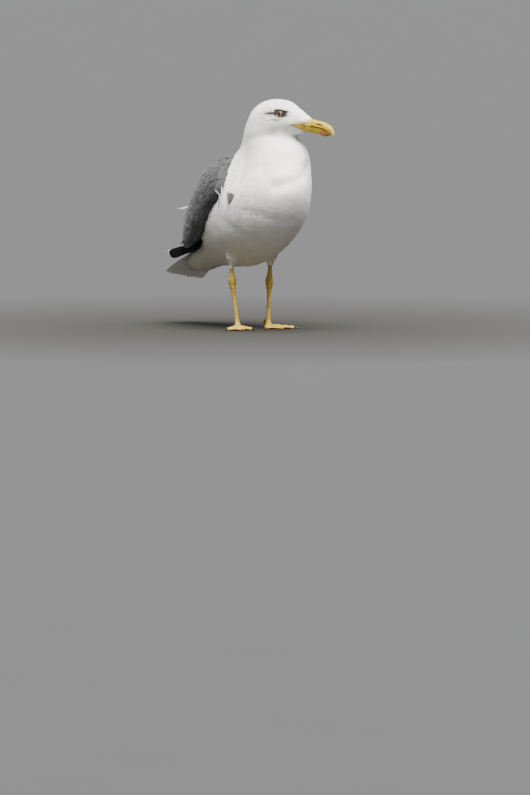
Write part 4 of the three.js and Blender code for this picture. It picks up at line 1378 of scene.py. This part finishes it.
def scaly_paint(tree):
    cells = added(tree, "TexVoronoi", "Distance", {"Vector": place_in(tree), "Scale": 750})
    blotch = noise(tree, 160, 3)
    colour = multiply(tree, tint_of(tree), ranged(tree, cells, 1.06, 0.82, 0.1, 0.6))
    colour = multiply(tree, colour, ranged(tree, blotch, 0.86, 1.08, 0.3, 0.7))
    return colour, ranged(tree, blotch, 0.42, 0.62, 0.3, 0.7), (cells, 0.55, -0.0005)


skin_mat = material("leg_skin", scaly_paint, Subsurface_Weight=0.12, Subsurface_Scale=0.002)
claw_mat = speckled("claw_horn", (500, 4, None, (1, 1, 0.3)), (0.7, 1.2, 0.3, 0.7), (0.28, 0.45),
                    (0.3, 0.0002))


def claw(name, tip, aim):
    """A blunt nail: rings along its core, closed by a point."""
    rows, n = 22, 16
    f, u, r = curve(list(enumerate(CLAW_CORE)), np.linspace(0, len(CLAW_CORE) - 1, rows)).T
    angle = round_angles(n)[:, None]
    middle = tip + f[:, None] * aim + u[:, None] * at(0, 0, 1)
    ring = 0.8 * np.cos(angle) * np.array([-aim[1], aim[0], 0]) + np.sin(angle) * at(0, 0, 1)
    points = (middle[:, None] + r[:, None, None] * ring[None]).reshape(-1, 3)
    points = np.concatenate([points, middle[-1:] + aim * 0.3])
    points[:, 2] = np.maximum(points[:, 2], 0.03)
    k = np.arange(n)
    last = (rows - 1) * n
    cap = np.stack([last + k, last + (k + 1) % n, np.full(n, rows * n)], 1)
    dark = np.concatenate([np.repeat(ramp(f, -1, 4), n), [1]])[:, None]
    tint = mixed(np.array([0.10, 0.075, 0.05]), np.array([0.022, 0.018, 0.016]), dark)
    nail = make_mesh(f"nail_{name}", points, [ring_faces(rows, n), cap], tint)
    keep(nail, "claw_horn", claw_mat, f"claw_{name}")


def leg(name, side):
    """One skin for the bare leg and foot, and a nail on each front toe."""
    field, toes, back = leg_field(side)
    foot = LEGS[side]["foot"]
    points, quads, normals = surface_net(field, foot + [-64, -64, 0.2], foot + [64, 40, 101], 0.85, 1)
    groove = scutes(side, points, normals, toes, back)[:, None]
    points = points + normals * (0.10 - 0.34 * groove)
    points[:, 2] = np.maximum(points[:, 2], 0.0)
    height = points[:, 2:]
    joint = bump(height, LEGS[side]["ankle"][2], 7)
    # painted sky light: faces of the feet that look up are paler and bluer
    pale = ramp(height, 12, 5) * ramp(normals[:, 2:], 0.2, 0.8)
    tint = LEG_YELLOW * (1 - 0.45 * groove) * (1 - joint * np.array([0.02, 0.08, 0.10]))
    # painted sky light on the upward faces, and a painted contact shadow darkening the lowest 2.4 mm
    tint = tint * (1 + pale * np.array([0.04, 0.0, 0.15])) * (1 - 0.35 * ramp(height, 2.4, 0.6))
    ob = make_mesh(f"leg_{name}_skin", points, quads, tint, points)
    keep(ob, "leg_skin", skin_mat, f"tibia_{name}", f"tarsus_{name}", f"foot_{name}", f"hind_toe_{name}")
    for toe, (aim, reach, _) in toes.items():
        claw(f"{toe}_{name}", foot + aim * reach, aim)


for name, side in SIDES.items():
    leg(name, side)

# ---------------------------------------------------------------- floor, light and camera
TURN, RISE = math.radians(36), math.radians(4)
RIGHT = np.array([math.cos(TURN), -math.sin(TURN), 0])
TO_CAMERA = np.array([-math.sin(TURN) * math.cos(RISE), -math.cos(TURN) * math.cos(RISE), math.sin(RISE)])
UP = np.cross(TO_CAMERA, RIGHT)
TARGET = (17.05 * RIGHT - 106.175 * UP + np.array([0, -26.8, 0])) * MM
DISTANCE = 15  # metres
VIEW_HEIGHT = 1.23225  # metres, at the target

camera_data = bpy.data.cameras.new("camera")
camera_data.sensor_fit = "VERTICAL"
camera_data.sensor_height = 24
camera_data.lens = 24 * DISTANCE / VIEW_HEIGHT
camera_data.clip_end = 400
camera = placed("camera", camera_data)
camera.location = Vector(TARGET + TO_CAMERA * DISTANCE)
camera.rotation_euler = Vector(-TO_CAMERA).to_track_quat("-Z", "Y").to_euler()
bpy.context.scene.camera = camera


def floor_paint(tree):
    """Dark near the gull, a painted shadow under it, and greyer far away."""
    cloud = noise(tree, 6, 4)
    away = added(tree, "VectorMath", "Value", {0: place_in(tree)}, operation="LENGTH")
    # painted shadow: the floor is near black round the gull
    painted_shadow_tone, far_tone = (0.008, 0.0066, 0.0042, 1), (0.0355, 0.0365, 0.0394, 1)
    inputs = {"Factor": ranged(tree, away, 0, 1, 0.10, 0.9), 6: painted_shadow_tone, 7: far_tone}
    tone = added(tree, "Mix", 2, inputs, data_type="RGBA")
    return multiply(tree, tone, ranged(tree, cloud, 0.95, 1.05)), ranged(tree, cloud, 0.8, 0.9), None


floor_mesh = bpy.data.meshes.new("floor")
floor_mesh.from_pydata([(-150, -150, 0), (150, -150, 0), (150, 150, 0), (-150, 150, 0)], [], [(0, 1, 2, 3)])
floor_mesh.materials.append(material("pale_floor", floor_paint))
floor = placed("floor", floor_mesh)

world = bpy.data.worlds.new("studio")
bpy.context.scene.world = world
world.use_nodes = True
background = world.node_tree.nodes["Background"]
background.inputs["Color"].default_value = (0.86, 0.90, 1.0, 1)
background.inputs["Strength"].default_value = 0.18


def sun(name, strength, angle, way, colour):
    data = bpy.data.lights.new(name, "SUN")
    data.energy = strength
    data.angle = math.radians(angle)
    data.color = colour
    placed(name, data).rotation_euler = Vector(way).to_track_quat("Z", "Y").to_euler()


sun("key", 18.0, 50, 0.10 * RIGHT + 1.0 * UP + 0.46 * TO_CAMERA, (1.0, 0.985, 0.95))
sun("fill", 0.4, 70, 0.15 * RIGHT + 0.30 * UP + 1.0 * TO_CAMERA, (1.0, 0.99, 0.96))
